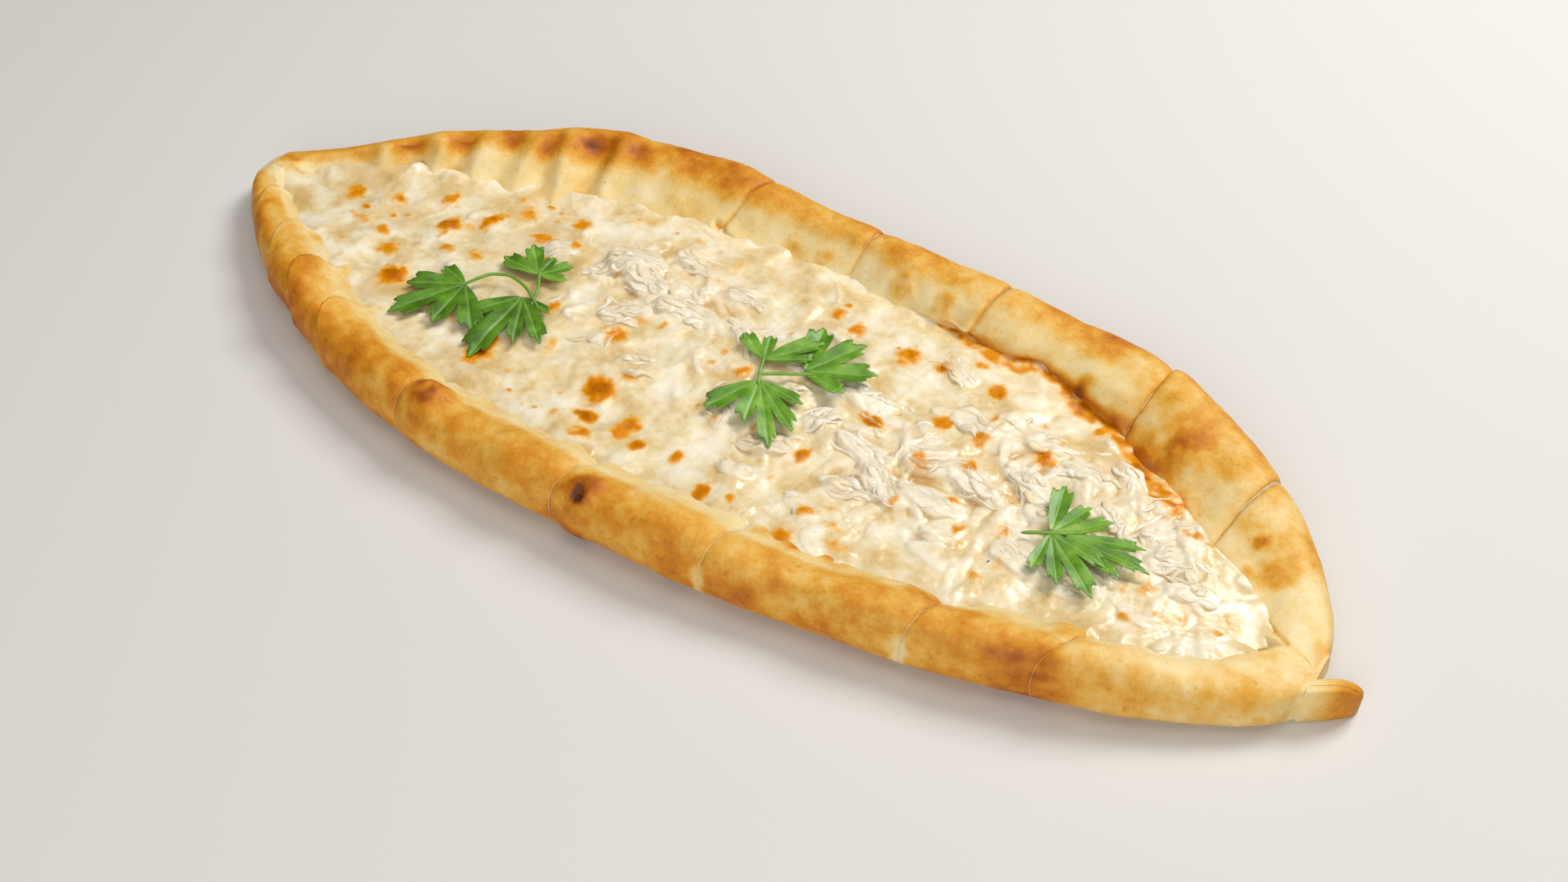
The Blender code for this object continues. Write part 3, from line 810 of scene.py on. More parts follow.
# Flakes that stand out: (x, y, heading in degrees, length, width, height), in millimetres.
FLAKES = [
    (60, -17, -24, 22, 9, 2.2), (52, -22, 12, 22, 7, 1.6), (94, 8, -20, 22, 9, 2.2), (104, 1, 25, 16, 8, 1.8),
    (8, -9, 10, 16, 8, 1.6), (2, -20, -35, 15, 7, 1.5), (82, -2, -8, 22, 8, 1.8), (67, -1, 30, 20, 9, 2.0),
    (46, -8, -5, 20, 8, 1.8), (22, -22, 20, 18, 8, 1.6), (73, -14, 5, 24, 9, 2.2), (-60, 20, 35, 20, 12, 3.6),
    (-51, 13, -15, 18, 10, 2.0), (-66, 12, 70, 14, 9, 1.6), (-32, 10, 10, 22, 10, 1.6), (133, 14, 60, 16, 8, 1.8),
    (130, 24, 75, 12, 6, 1.4), (140, 5, 40, 16, 9, 1.6), (105, 22, 5, 18, 8, 1.4), (115, 28, -25, 12, 6, 1.2),
    (90, 26, 15, 16, 8, 1.5), (124, -14, 10, 16, 8, 1.6), (104, -19, -10, 18, 9, 2.0), (20, -36, 5, 14, 7, 1.4),
    (162, 13, 55, 11, 6, 1.2), (-48, -2, 30, 18, 9, 1.6), (35, 10, -12, 18, 9, 1.6), (84, -31, 0, 16, 7, 1.4),
    (-20, 28, 12, 18, 9, 1.6), (52, 38, -20, 14, 8, 1.6), (150, -2, 20, 16, 8, 1.4), (-84, 12, 40, 16, 8, 1.4),
    (-12, 12, -30, 18, 8, 1.4), (30, -4, 60, 16, 8, 1.4), (-44, 32, 0, 20, 9, 1.6), (68, 20, -10, 18, 8, 1.6),
    (-30, -18, 20, 16, 8, 1.2), (120, 10, -40, 14, 7, 1.4), (44, -36, -15, 16, 7, 1.2), (142, -18, 0, 14, 7, 1.4),
]


def meatiness(x, y):
    """How much pulled chicken shows: most in the middle and the right, and least in the left third."""
    centre = 0.9 * bell(x, 60 * MM, 62 * MM) * bell(y, -2 * MM, 34 * MM)
    left = 0.65 * bell(x, -48 * MM, 28 * MM) * bell(y, 14 * MM, 26 * MM)
    right = 0.75 * bell(x, 135 * MM, 26 * MM) * bell(y, 4 * MM, 24 * MM)
    return np.clip(0.12 + centre + left + right + 0.30 * noise(x, y, 0 * x, 17 * MM, 80), 0.0, 1.0)


def window(x_low, x_high, y_low, y_high):
    """The part of the raster between some limits."""
    i_0, i_1 = (int((x - RASTER_X[0]) / CELL) for x in (x_low, x_high))
    j_0, j_1 = (int((y - RASTER_Y[0]) / CELL) for y in (y_low, y_high))
    return np.s_[max(0, i_0) : max(0, i_1 + 1), max(0, j_0) : max(0, j_1 + 1)]


def strand_path(x, y, heading, length, bend, count=12):
    """Points along a strand: a straight run through (x, y) that bows sideways by bend."""
    along = np.linspace(-0.5, 0.5, count)
    bow = bend * (1.0 - 4.0 * along**2)
    run = along * length
    return x + run * math.cos(heading) - bow * math.sin(heading), y + run * math.sin(heading) + bow * math.cos(heading)


def stamp_strand(raster, path_x, path_y, radius, height):
    """Raises the raster to a half-round ridge along a strand, tapering at both ends."""
    pad = radius + 1 * MM
    here = window(path_x.min() - pad, path_x.max() + pad, path_y.min() - pad, path_y.max() + pad)
    if raster[here].size == 0:
        return
    gap_x, gap_y = raster_x[here][..., None] - path_x, raster_y[here][..., None] - path_y
    thick = radius * np.sin(np.linspace(0.18, math.pi - 0.18, len(path_x))) ** 0.5
    ridge = np.sqrt(np.maximum(1.0 - (gap_x**2 + gap_y**2) / thick**2, 0.0)) * thick / radius
    raster[here] = np.maximum(raster[here], height * ridge.max(axis=-1))


def stamp_flake(raster, x, y, heading, length, width, height):
    """Raises the raster to a flake: a ragged oval plate, ridged along its fibres, highest at its near
    left edge.
    """
    pad = 0.7 * max(length, width)
    here = window(x - pad, x + pad, y - pad, y + pad)
    gap_x, gap_y = raster_x[here] - x, raster_y[here] - y
    along = gap_x * math.cos(heading) + gap_y * math.sin(heading)
    across = gap_y * math.cos(heading) - gap_x * math.sin(heading)
    ragged = 0.30 * noise(along, across, 0 * along + x, 4.5 * MM, 120)
    ragged = ragged + 0.22 * noise(along, across, 0 * along, (6 * MM, 1.1 * MM, 1 * MM), 121)
    far = np.abs(2.0 * along / length) ** 2.6 + np.abs(2.0 * across / width) ** 2.2 + ragged
    inside = 1.0 - smooth(0.72, 1.06, far)
    tilt = np.clip(-(0.45 * gap_x + 0.9 * gap_y) / (0.6 * width), -1.0, 1.0)
    fibres = 0.13 * noise(along, across, 0 * along + y, (9 * MM, 1.2 * MM, 1 * MM), 122)
    raster[here] = np.maximum(raster[here], inside * height * (0.68 + 0.32 * tilt + fibres))


def blur(raster, sigma):
    """A Gaussian blur, by multiplying the raster's waves by a bell."""
    fx = np.fft.fftfreq(raster.shape[0])[:, None]
    fy = np.fft.rfftfreq(raster.shape[1])[None, :]
    keep = np.exp(-2.0 * (math.pi * sigma / CELL) ** 2 * (fx**2 + fy**2))
    return np.fft.irfft2(np.fft.rfft2(raster) * keep, raster.shape)


def strand_field(count, seed, length_range, radius_range, height_range):
    """A raster of many strands, denser where there is more meat, mostly in loose parallel bundles."""
    draw = np.random.default_rng(seed)
    raster = np.zeros_like(raster_x)
    made = 0
    while made < count:
        x, y = draw.uniform(-185, 180) * MM, draw.uniform(-55, 50) * MM
        if draw.random() > meatiness(np.array(x), np.array(y)):
            continue
        heading = draw.uniform(0, math.pi)
        for _ in range(draw.integers(2, 7)):
            near_x, near_y = x + draw.normal(0, 2.6) * MM, y + draw.normal(0, 2.6) * MM
            length = draw.uniform(*length_range) * MM
            path = strand_path(near_x, near_y, heading + draw.normal(0, 0.28), length, draw.normal(0, 0.09) * length)
            stamp_strand(raster, *path, draw.uniform(*radius_range) * MM, draw.uniform(*height_range))
            made += 1
    return raster


def flake_field(count, seed):
    """A raster of the placed flakes and of many small ones, where there is meat."""
    draw = np.random.default_rng(seed)
    raster = np.zeros_like(raster_x)
    for x, y, heading, length, width, height in FLAKES:
        stamp_flake(raster, x * MM, y * MM, math.radians(heading), length * MM, width * MM, height)
    made = 0
    while made < count:
        x, y = draw.uniform(-175, 165) * MM, draw.uniform(-50, 45) * MM
        if draw.random() < meatiness(np.array(x), np.array(y)):
            length, width = draw.uniform(6, 13) * MM, draw.uniform(3, 6) * MM
            stamp_flake(raster, x, y, draw.uniform(0, math.pi), length, width, draw.uniform(0.6, 1.4))
            made += 1
    return raster


coarse_strands = strand_field(420, 5, (10, 26), (0.9, 2.2), (0.8, 1.9))
fine_strands = strand_field(900, 6, (6, 20), (0.4, 0.9), (0.4, 0.9))
flakes = flake_field(110, 7)
strands = coarse_strands + 0.6 * fine_strands
meat = meatiness(raster_x, raster_y)
thin = np.clip(meat + 0.40 * noise(raster_x, raster_y, flat, 8 * MM, 82) + 0.25 * flakes, 0.0, 1.0)
under_cheese = 0.75 * strands + 1.0 * flakes
blanket = blur(under_cheese, 1.6 * MM) * (1.0 - thin)
blanket = blanket + (0.4 * under_cheese + 0.6 * blur(under_cheese, 0.7 * MM)) * thin
lumps = 1.0 * noise(raster_x, raster_y, flat, 22 * MM, 83) + 0.7 * noise(raster_x, raster_y, flat, 9.5 * MM, 84)
lumps = lumps + 0.42 * noise(raster_x, raster_y, flat, 4.8 * MM, 85) + 0.14 * noise(raster_x, raster_y, flat, 2 * MM, 86)
print("meat height in mm, mean and most:", round(float(under_cheese.mean()), 2), round(float(under_cheese.max()), 2))

# %% [markdown]
# ## Toasted spots
#
# Where the cheese blistered it toasted to golden orange, in soft-edged spots three to ten millimetres
# wide. The large ones have a place each, and small ones are scattered between them. A spot lifts the
# cheese by a fraction of a millimetre and colours it.

# %% Toasted spots, in millimetres: (x, y, radius, strength)
SPOTS = [
    (-162, -5, 4.0, 0.8), (-124, -1, 4.5, 0.9), (-113, 10, 4.0, 0.9), (-75, -39, 5.5, 1.0), (-34, -32, 5.5, 0.9),
    (-30, -43, 3.5, 1.0), (-17, -40, 4.2, 0.9), (-26, -50, 3.6, 0.8), (-10, -44, 3.2, 0.9), (2, -40, 2.8, 0.8),
    (17, -47, 4.0, 0.9), (33, -20, 3.0, 0.8), (42, 4, 3.2, 0.9), (60, 15, 3.2, 0.7), (73, 14, 3.0, 0.7),
    (92, 20, 3.6, 0.8), (-122, -30, 4.6, 1.0), (-147, 0, 3.4, 0.8), (-133, 10, 3.4, 0.7), (-96, -34, 4.0, 0.8),
    (-44, -11, 4.0, 0.7), (-69, -13, 3.0, 0.7), (6, 38, 3.0, 0.7), (15, 36, 3.0, 0.7), (64, -4, 3.4, 0.8),
    (76, 4, 2.8, 0.8), (36, 35, 4.4, 0.8), (47, 37, 3.6, 0.8), (66, 37, 3.4, 0.8), (100, 45, 3.2, 0.7),
    (99, -31, 3.0, 0.6), (116, 0, 3.0, 0.5), (139, -7, 3.2, 0.5), (164, -4, 3.4, 0.5), (150, -13, 4.0, 0.5),
    (-1, -2, 2.8, 0.6), (28, 19, 2.6, 0.7), (46, -38, 3.0, 0.7), (56, -38, 2.8, 0.6), (46, -50, 3.6, 0.7),
    (61, -44, 2.8, 0.6), (86, -18, 2.6, 0.6), (-140, -15, 3.0, 0.6), (-152, -14, 2.6, 0.6), (-107, 20, 4.0, 0.6),
    (-95, 12, 3.6, 0.7), (-86, 2, 3.4, 0.7), (-132, -22, 3.4, 0.7), (-105, -8, 3.0, 0.6), (-88, 25, 3.0, 0.6),
]
draw = np.random.default_rng(21)
while len(SPOTS) < 190:
    x_at, y_at = draw.uniform(-180, 170), draw.uniform(-52, 45)
    if draw.random() > float(meatiness(np.array(x_at * MM), np.array(y_at * MM))) * 0.7:
        SPOTS.append((x_at, y_at, draw.uniform(0.9, 2.6), draw.uniform(0.25, 0.7)))

toast = np.zeros_like(raster_x)
ragged = noise(raster_x, raster_y, 0 * raster_x, 3.4 * MM, 90) + 0.6 * noise(raster_x, raster_y, 0 * raster_x, 1.5 * MM, 91)
for x_at, y_at, radius, strength in SPOTS:
    stretch = 0.75 + 0.6 * noise_box[int(abs(x_at)) % 48, 0, 0]
    far = np.hypot((raster_x / MM - x_at) * stretch, (raster_y / MM - y_at) / stretch) + 0.36 * radius * ragged
    toast = np.maximum(toast, strength * (1.0 - smooth(0.1 * radius, 1.65 * radius, far)))
print("toasted spots:", len(SPOTS), "cover", round(float((toast > 0.3).mean()) * 100, 1), "% of the raster")


# %% Cheese height and values over the raster
def crown_height(x, y):
    """The cheese heaps towards the middle of the boat."""
    return 10.2 * MM + 2.4 * MM * bell(y, TIP_Y + 8 * MM, 38 * MM) * tip_share(x)


pooled = smooth(0.05, 0.6, noise(raster_x, raster_y, flat, 13 * MM, 92) - 0.4 * meat - 0.25 * toast)
relief = lumps * (0.55 + 0.45 * tip_share(raster_x)) + 1.0 * blanket - 0.30 * pooled + 0.40 * toast
raster_height = crown_height(raster_x, raster_y) + (relief - 0.35) * MM
# Crevice shade: how much deeper a point lies than its blurred surroundings. The material paints these crevices a darker
# amber, as painted shade.
crevice_shade = smooth(0.12, 1.0, blur(relief, 2.0 * MM) - relief) + 0.5 * smooth(0.3, 1.4, blur(relief, 6.0 * MM) - relief)
crevice_shade = crevice_shade * (0.45 + 0.55 * meat)
meat_shown = np.clip((smooth(0.35, 1.2, strands) * 0.6 + smooth(0.3, 1.1, flakes)) * thin * 1.2, 0, 1)


def read_raster(raster, x, y):
    """Reads a raster between its cells."""
    i = np.clip((x - RASTER_X[0]) / CELL, 0, len(RASTER_X) - 1.001)
    j = np.clip((y - RASTER_Y[0]) / CELL, 0, len(RASTER_Y) - 1.001)
    i_0, j_0 = i.astype(int), j.astype(int)
    u, v = i - i_0, j - j_0
    low = raster[i_0, j_0] * (1 - v) + raster[i_0, j_0 + 1] * v
    high = raster[i_0 + 1, j_0] * (1 - v) + raster[i_0 + 1, j_0 + 1] * v
    return low * (1 - u) + high * u


print("cheese height in mm:", round(raster_height.min() / MM, 1), "to", round(raster_height.max() / MM, 1))

# %% [markdown]
# ## The blanket of cheese
#
# Each slice's cheese is a closed block: a fine grid on top that reads the raster, reaching a little way
# into the slope of each rim, so that the line where dough and cheese meet comes out uneven by itself.

# %% Build the cheese
CHEESE_STEP = 0.45 * MM
CHEESE_COLUMNS = 236


def cheese_grid(index):
    """The top of a slice's cheese with its sides folded down to the floor, and the values for its
    material.
    """
    at = np.array([TIP_Y])
    length = float(slice_line(index, np.array([1.0]), at)[0] - slice_line(index, np.array([0.0]), at)[0])
    share = np.linspace(0.0, 1.0, max(30, round(length / CHEESE_STEP)))
    edges = {side: rim_edge(index, share, side, 0.1) for side in (-1, 1)}
    widths = {}
    for side in (-1, 1):
        x = slice_line(index, share, edges[side], 0.1)
        widths[side] = np.minimum(rim_width(x, side), 0.5 * (edges[1] - edges[-1]))
    trough = edges[1] - edges[-1] - widths[1] - widths[-1]
    kept = trough > 1.5 * MM
    share, trough = share[kept], trough[kept]
    spread = np.clip(0.35 * trough + 1.2 * MM, 1.5 * MM, 6.5 * MM)
    near_y = edges[-1][kept] + widths[-1][kept] - spread
    far_y = edges[1][kept] - widths[1][kept] + spread
    column = np.linspace(0.0, 1.0, CHEESE_COLUMNS)[None, :]
    y = near_y[:, None] + (far_y - near_y)[:, None] * column
    x = slice_line(index, share[:, None], y, 0.1)
    z = read_raster(raster_height, x, y)
    to_side = np.minimum(y - near_y[:, None], far_y[:, None] - y)
    near_side = y < TIP_Y
    climb = 0.9 * noise(x, y, 0 * x, 9 * MM, 140) + 0.5 * noise(x, y, 0 * x, 4 * MM, 141)
    z = z + climb * MM * np.exp(-((to_side / (8 * MM)) ** 2))
    z = z + 2.2 * MM * near_side * np.exp(-((to_side / (16 * MM)) ** 2))
    z = np.maximum(z, 6.4 * MM)
    top = np.stack([x, y, z], -1)
    floor_left, floor_right = top[:, :1].copy(), top[:, -1:].copy()
    floor_left[..., 2] = floor_right[..., 2] = 6.0 * MM
    grid = np.concatenate([floor_left, top, floor_right], axis=1)
    here = grid[..., 0], grid[..., 1]
    stained = away_from_line(here[0] / MM, here[1] / MM, OIL_STAIN) + 1.6 * noise(*here, 0 * here[0], 5 * MM, 142)
    stain = 0.95 * (1.0 - smooth(1.2, 5.0, stained)) * (0.7 + 0.5 * noise(*here, 0 * here[0], 2.5 * MM, 143))
    toasted = np.maximum(read_raster(toast, *here), stain)
    values = {"toast": toasted, "meat": read_raster(meat_shown, *here), "wet": read_raster(pooled, *here)}
    values["crevice_shade"] = read_raster(crevice_shade, *here)
    return grid, values


print("rows in the first slice:", cheese_grid(0)[0].shape[0])

# %% [markdown]
# ## Melted cheese as a material
#
# Mozzarella-like cheese melts to a warm off-white, with yellower pools where its fat has run, and toasts
# through gold to orange-brown. It is moist, so its gloss is soft and uneven. The chicken beneath shows
# whiter and duller. In the crevices its colour is darkened to amber, as painted shade.

# %% Material: melted cheese, oven-toasted
cheese, shader, coordinates = new_material("melted cheese, oven-toasted")
tone_noise = add_node(
    cheese,
    "ShaderNodeTexNoise",
    {"Vector": coordinates, "Scale": 1.0 / (12.0 * MM), "Detail": 4.0},
).outputs["Fac"]
tone_noise_2 = add_node(
    cheese,
    "ShaderNodeTexNoise",
    {"Vector": coordinates, "Scale": 1.0 / (2.5 * MM), "Detail": 3.0},
).outputs["Fac"]
tone_share = add_node(
    cheese,
    "ShaderNodeMapRange",
    {"Value": tone_noise_2, "From Min": 0.3, "From Max": 0.7, "To Min": -0.06, "To Max": 0.06},
).outputs["Result"]
tone = add_node(cheese, "ShaderNodeMath", {0: tone_noise, 1: tone_share}, operation="ADD").outputs[0]
cream = add_node(
    cheese,
    "ShaderNodeValToRGB",
    {"Fac": tone},
    stops=[(0.30, "#D6B57A"), (0.44, "#E4CC9A"), (0.56, "#EDDDB9"), (0.72, "#F5ECD6")],
).outputs["Color"]
stored_wet = add_node(cheese, "ShaderNodeAttribute", attribute_name="wet").outputs["Fac"]
pools_share = add_node(
    cheese,
    "ShaderNodeMapRange",
    {"Value": stored_wet, "From Min": 0.1, "From Max": 1.0, "To Min": 0.0, "To Max": 0.6},
).outputs["Result"]
pools = add_node(
    cheese,
    "ShaderNodeMix",
    {0: pools_share, 6: cream, 7: linear("#CFA65C")},
    data_type="RGBA",
).outputs[2]
stored_meat = add_node(cheese, "ShaderNodeAttribute", attribute_name="meat").outputs["Fac"]
with_meat_share = add_node(
    cheese,
    "ShaderNodeMapRange",
    {"Value": stored_meat, "From Min": 0.1, "From Max": 0.9, "To Min": 0.0, "To Max": 0.75},
).outputs["Result"]
with_meat = add_node(
    cheese,
    "ShaderNodeMix",
    {0: with_meat_share, 6: pools, 7: linear("#EFE3CB")},
    data_type="RGBA",
).outputs[2]
# The crevices are painted a darker amber: painted shade, not a colour of the cheese.
stored_crevice_shade = add_node(cheese, "ShaderNodeAttribute", attribute_name="crevice_shade").outputs["Fac"]
crevice_shade_share = add_node(
    cheese,
    "ShaderNodeMapRange",
    {"Value": stored_crevice_shade, "From Min": 0.1, "From Max": 1.0, "To Min": 0.0, "To Max": 0.65},
).outputs["Result"]
crevice_shaded = add_node(
    cheese,
    "ShaderNodeMix",
    {0: crevice_shade_share, 6: with_meat, 7: linear("#C48F40")},
    data_type="RGBA",
).outputs[2]
stored_toast = add_node(cheese, "ShaderNodeAttribute", attribute_name="toast").outputs["Fac"]
toast_value_noise = add_node(
    cheese,
    "ShaderNodeTexNoise",
    {"Vector": coordinates, "Scale": 1.0 / (1.8 * MM), "Detail": 3.0},
).outputs["Fac"]
toast_value_share = add_node(
    cheese,
    "ShaderNodeMapRange",
    {"Value": toast_value_noise, "From Min": 0.3, "From Max": 0.7, "To Min": -0.10, "To Max": 0.10},
).outputs["Result"]
toast_value_noise_2 = add_node(
    cheese,
    "ShaderNodeTexNoise",
    {"Vector": coordinates, "Scale": 1.0 / (7.0 * MM), "Detail": 3.0},
).outputs["Fac"]
toast_value_share_2 = add_node(
    cheese,
    "ShaderNodeMapRange",
    {"Value": toast_value_noise_2, "From Min": 0.3, "From Max": 0.75, "To Min": -0.10, "To Max": 0.16},
).outputs["Result"]
toast_value_sum = add_node(
    cheese,
    "ShaderNodeMath",
    {0: stored_toast, 1: toast_value_share},
    operation="ADD",
).outputs[0]
toast_value = add_node(
    cheese,
    "ShaderNodeMath",
    {0: toast_value_sum, 1: toast_value_share_2},
    operation="ADD",
).outputs[0]
toasting = add_node(
    cheese,
    "ShaderNodeMapRange",
    {"Value": toast_value, "From Min": 0.10, "From Max": 0.60, "To Min": 0.0, "To Max": 1.0},
).outputs["Result"]
toast_tone = add_node(
    cheese,
    "ShaderNodeValToRGB",
    {"Fac": toast_value},
    stops=[(0.15, "#EDC578"), (0.42, "#E8A224"), (0.70, "#DA8604"), (1.0, "#B06000")],
).outputs["Color"]
cheese_colour = add_node(
    cheese,
    "ShaderNodeMix",
    {0: toasting, 6: crevice_shaded, 7: toast_tone},
    data_type="RGBA",
).outputs[2]
cheese.node_tree.links.new(cheese_colour, shader.inputs["Base Color"])
gloss_noise = add_node(
    cheese,
    "ShaderNodeTexNoise",
    {"Vector": coordinates, "Scale": 1.0 / (3.5 * MM), "Detail": 3.0},
).outputs["Fac"]
gloss = add_node(
    cheese,
    "ShaderNodeMapRange",
    {"Value": gloss_noise, "From Min": 0.3, "From Max": 0.7, "To Min": 0.18, "To Max": 0.38},
).outputs["Result"]
meat_dull = add_node(
    cheese,
    "ShaderNodeMapRange",
    {"Value": stored_meat, "From Min": 0.1, "From Max": 1.0, "To Min": 0.0, "To Max": 0.14},
).outputs["Result"]
wet_shine = add_node(
    cheese,
    "ShaderNodeMapRange",
    {"Value": stored_wet, "From Min": 0.1, "From Max": 1.0, "To Min": 0.0, "To Max": -0.06},
).outputs["Result"]
roughness_sum_2 = add_node(cheese, "ShaderNodeMath", {0: gloss, 1: meat_dull}, operation="ADD").outputs[0]
roughness_sum = add_node(
    cheese,
    "ShaderNodeMath",
    {0: roughness_sum_2, 1: wet_shine},
    operation="ADD",
).outputs[0]
cheese.node_tree.links.new(roughness_sum, shader.inputs["Roughness"])
soft_bump_noise = add_node(
    cheese,
    "ShaderNodeTexNoise",
    {"Vector": coordinates, "Scale": 1.0 / (1.5 * MM), "Detail": 2.0},
).outputs["Fac"]
soft_bump = add_node(
    cheese,
    "ShaderNodeBump",
    {"Height": soft_bump_noise, "Strength": 0.22, "Distance": 0.3 * MM},
)
cheese.node_tree.links.new(soft_bump.outputs["Normal"], shader.inputs["Normal"])
shader.inputs["Subsurface Weight"].default_value = 0.18
shader.inputs["Subsurface Scale"].default_value = 2.5 * MM
shader.inputs["Subsurface Radius"].default_value = (1.0, 0.8, 0.55)
shader.inputs["Specular IOR Level"].default_value = 0.45

# %% Add the cheese to each slice
cheese_count = 0
for index in range(len(CUTS) + 1):
    grid, values = cheese_grid(index)
    piece = loft_piece(f"melted_cheese_slice_{index + 1}", grid, values, [cheese, cheese])
    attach(piece, "root")
    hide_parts(f"filling_slice_{index + 1}")
    cheese_count += 2 * len(piece.data.polygons)
print("cheese triangles:", cheese_count)

# %% [markdown]
# ## Pulled chicken
#
# The chicken is breast meat pulled into strands, which split along the muscle's fibres. The strands that
# lie on top of the cheese are their own mesh: flattened tubes whose section is ridged along the fibres,
# which rise a little in the middle and sink into the cheese at their ends. Sheets of meat are bundles of
# them side by side.

# %% Strands of chicken
STRAND_ROWS = 14
STRAND_COLUMNS = 8
STRAND_COUNT = 360


def in_trough(x, y):
    """Whether a point lies well inside the cheese, away from both rims."""
    near, far = (outline(np.array(x), side) - side * rim_width(np.array(x), side) for side in (-1, 1))
    return near + 4 * MM < y < far - 4 * MM


def chicken_strands(seed):
    """Every strand's centre, heading, length, bow and radius, as arrays with one row for each strand."""
    draw = np.random.default_rng(seed)
    rows = []
    for x, y, heading, length, width, height in FLAKES:
        turn = math.radians(heading)
        for _ in range(round(0.75 * width * height**0.5)):
            offset, slide = draw.uniform(-0.5, 0.5) * width, draw.normal(0, 0.18) * length
            here_x = x + slide * math.cos(turn) - offset * math.sin(turn)
            here_y = y + slide * math.sin(turn) + offset * math.cos(turn)
            size = length * draw.uniform(0.3, 0.8)
            bend = draw.normal(0, 0.05) * size
            if not in_trough(here_x * MM, here_y * MM):
                continue
            rows.append((here_x, here_y, turn + draw.normal(0, 0.20), size, bend, draw.uniform(0.35, 0.80)))
    while len(rows) < STRAND_COUNT:
        x, y = draw.uniform(-170, 165), draw.uniform(-48, 42)
        meat_here = float(meatiness(np.array(x * MM), np.array(y * MM)))
        if draw.random() < meat_here**1.5 and in_trough(x * MM, y * MM):
            size = draw.uniform(4, 11)
            rows.append((x, y, draw.uniform(0, math.pi), size, draw.normal(0, 0.08) * size, draw.uniform(0.3, 0.6)))
    return np.array(rows).T


centre_x, centre_y, heading, length, bow, radius = (column[:, None] for column in chicken_strands(31))
along = np.linspace(-0.5, 0.5, STRAND_ROWS)[None, :]
sway = bow * (1.0 - 4.0 * along**2) + 0.04 * length * np.sin(9.0 * along + 5.0 * centre_x)
line_x = (centre_x + along * length * np.cos(heading) - sway * np.sin(heading)) * MM
line_y = (centre_y + along * length * np.sin(heading) + sway * np.cos(heading)) * MM
rise = 0.25 + 0.7 * noise(line_x, line_y, 0 * line_x, 7 * MM, 95)
sink = (1.0 - 4.0 * along**2) * (0.35 + rise) - 0.45
line_z = read_raster(raster_height, line_x, line_y) + radius * sink * MM
taper = np.maximum(1.0 - (2.0 * along) ** 2, 0.01) ** 0.6
half = radius * taper * (1.0 + 0.40 * noise(line_x, line_y, radius, 2.2 * MM, 96)) * MM
angle = np.linspace(0, 2 * math.pi, STRAND_COLUMNS, endpoint=False)[None, None, :]
ridged = 1.0 + 0.14 * np.cos(3.0 * angle + 40.0 * centre_x[..., None])
ahead_x, ahead_y = np.gradient(line_x, axis=1), np.gradient(line_y, axis=1)
ahead = np.maximum(np.hypot(ahead_x, ahead_y), 1e-9)
side_x, side_y = -ahead_y / ahead, ahead_x / ahead
swing = half[..., None] * np.cos(angle) * ridged * 1.7
strand_x = line_x[..., None] + side_x[..., None] * swing
strand_y = line_y[..., None] + side_y[..., None] * swing
strand_z = line_z[..., None] + half[..., None] * np.sin(angle) * ridged * 0.55
points = held_inside(np.stack([strand_x, strand_y, strand_z], -1))
one = grid_faces(STRAND_ROWS, STRAND_COLUMNS, True)
shift = (np.arange(len(points)) * STRAND_ROWS * STRAND_COLUMNS)[:, None, None]
faces = [tuple(face) for face in (one[None] + shift).reshape(-1, 4).tolist()]
first_ring = np.arange(STRAND_COLUMNS)[::-1] + shift[:, 0]
last_ring = np.arange(STRAND_COLUMNS) + (STRAND_ROWS - 1) * STRAND_COLUMNS + shift[:, 0]
faces += [tuple(ring) for ring in np.concatenate([first_ring, last_ring]).tolist()]
strand_toast = np.clip(read_raster(toast, points[..., 0], points[..., 1]) * 0.8, 0, 1)
orange_end = bell(points[..., 0], 162 * MM, 9 * MM) * bell(points[..., 1], 13 * MM, 9 * MM)
strand_toast = np.maximum(strand_toast, 0.55 * orange_end)
strand_tone = np.broadcast_to(noise_box[np.arange(len(points)) % 48, 3, 5][:, None, None], points.shape[:3])
print("strands:", len(points))

# %% Material: poached chicken breast, pulled
chicken, shader, coordinates = new_material("poached chicken breast, pulled")
stored_tone = add_node(chicken, "ShaderNodeAttribute", attribute_name="tone").outputs["Fac"]
white = add_node(
    chicken,
    "ShaderNodeValToRGB",
    {"Fac": stored_tone},
    stops=[(0.0, "#E9D5AE"), (0.5, "#F3E3C6"), (1.0, "#F8EEDA")],
).outputs["Color"]
mottled_noise = add_node(
    chicken,
    "ShaderNodeTexNoise",
    {"Vector": coordinates, "Scale": 1.0 / (5.0 * MM), "Detail": 3.0},
).outputs["Fac"]
mottled_share = add_node(
    chicken,
    "ShaderNodeMapRange",
    {"Value": mottled_noise, "From Min": 0.35, "From Max": 0.7, "To Min": 0.0, "To Max": 0.35},
).outputs["Result"]
mottled = add_node(
    chicken,
    "ShaderNodeMix",
    {0: mottled_share, 6: white, 7: linear("#E3C58F")},
    data_type="RGBA",
).outputs[2]
stored_toast = add_node(chicken, "ShaderNodeAttribute", attribute_name="toast").outputs["Fac"]
chicken_toast = add_node(
    chicken,
    "ShaderNodeValToRGB",
    {"Fac": stored_toast},
    stops=[(0.1, "#EBCB8E"), (0.6, "#DB9136"), (1.0, "#B4621B")],
).outputs["Color"]
cooked_share = add_node(
    chicken,
    "ShaderNodeMapRange",
    {"Value": stored_toast, "From Min": 0.1, "From Max": 0.6, "To Min": 0.0, "To Max": 0.9},
).outputs["Result"]
cooked = add_node(
    chicken,
    "ShaderNodeMix",
    {0: cooked_share, 6: mottled, 7: chicken_toast},
    data_type="RGBA",
).outputs[2]
chicken.node_tree.links.new(cooked, shader.inputs["Base Color"])
shader.inputs["Roughness"].default_value = 0.48
shader.inputs["Subsurface Weight"].default_value = 0.2
shader.inputs["Subsurface Scale"].default_value = 2.5 * MM
shader.inputs["Subsurface Radius"].default_value = (1.0, 0.8, 0.6)
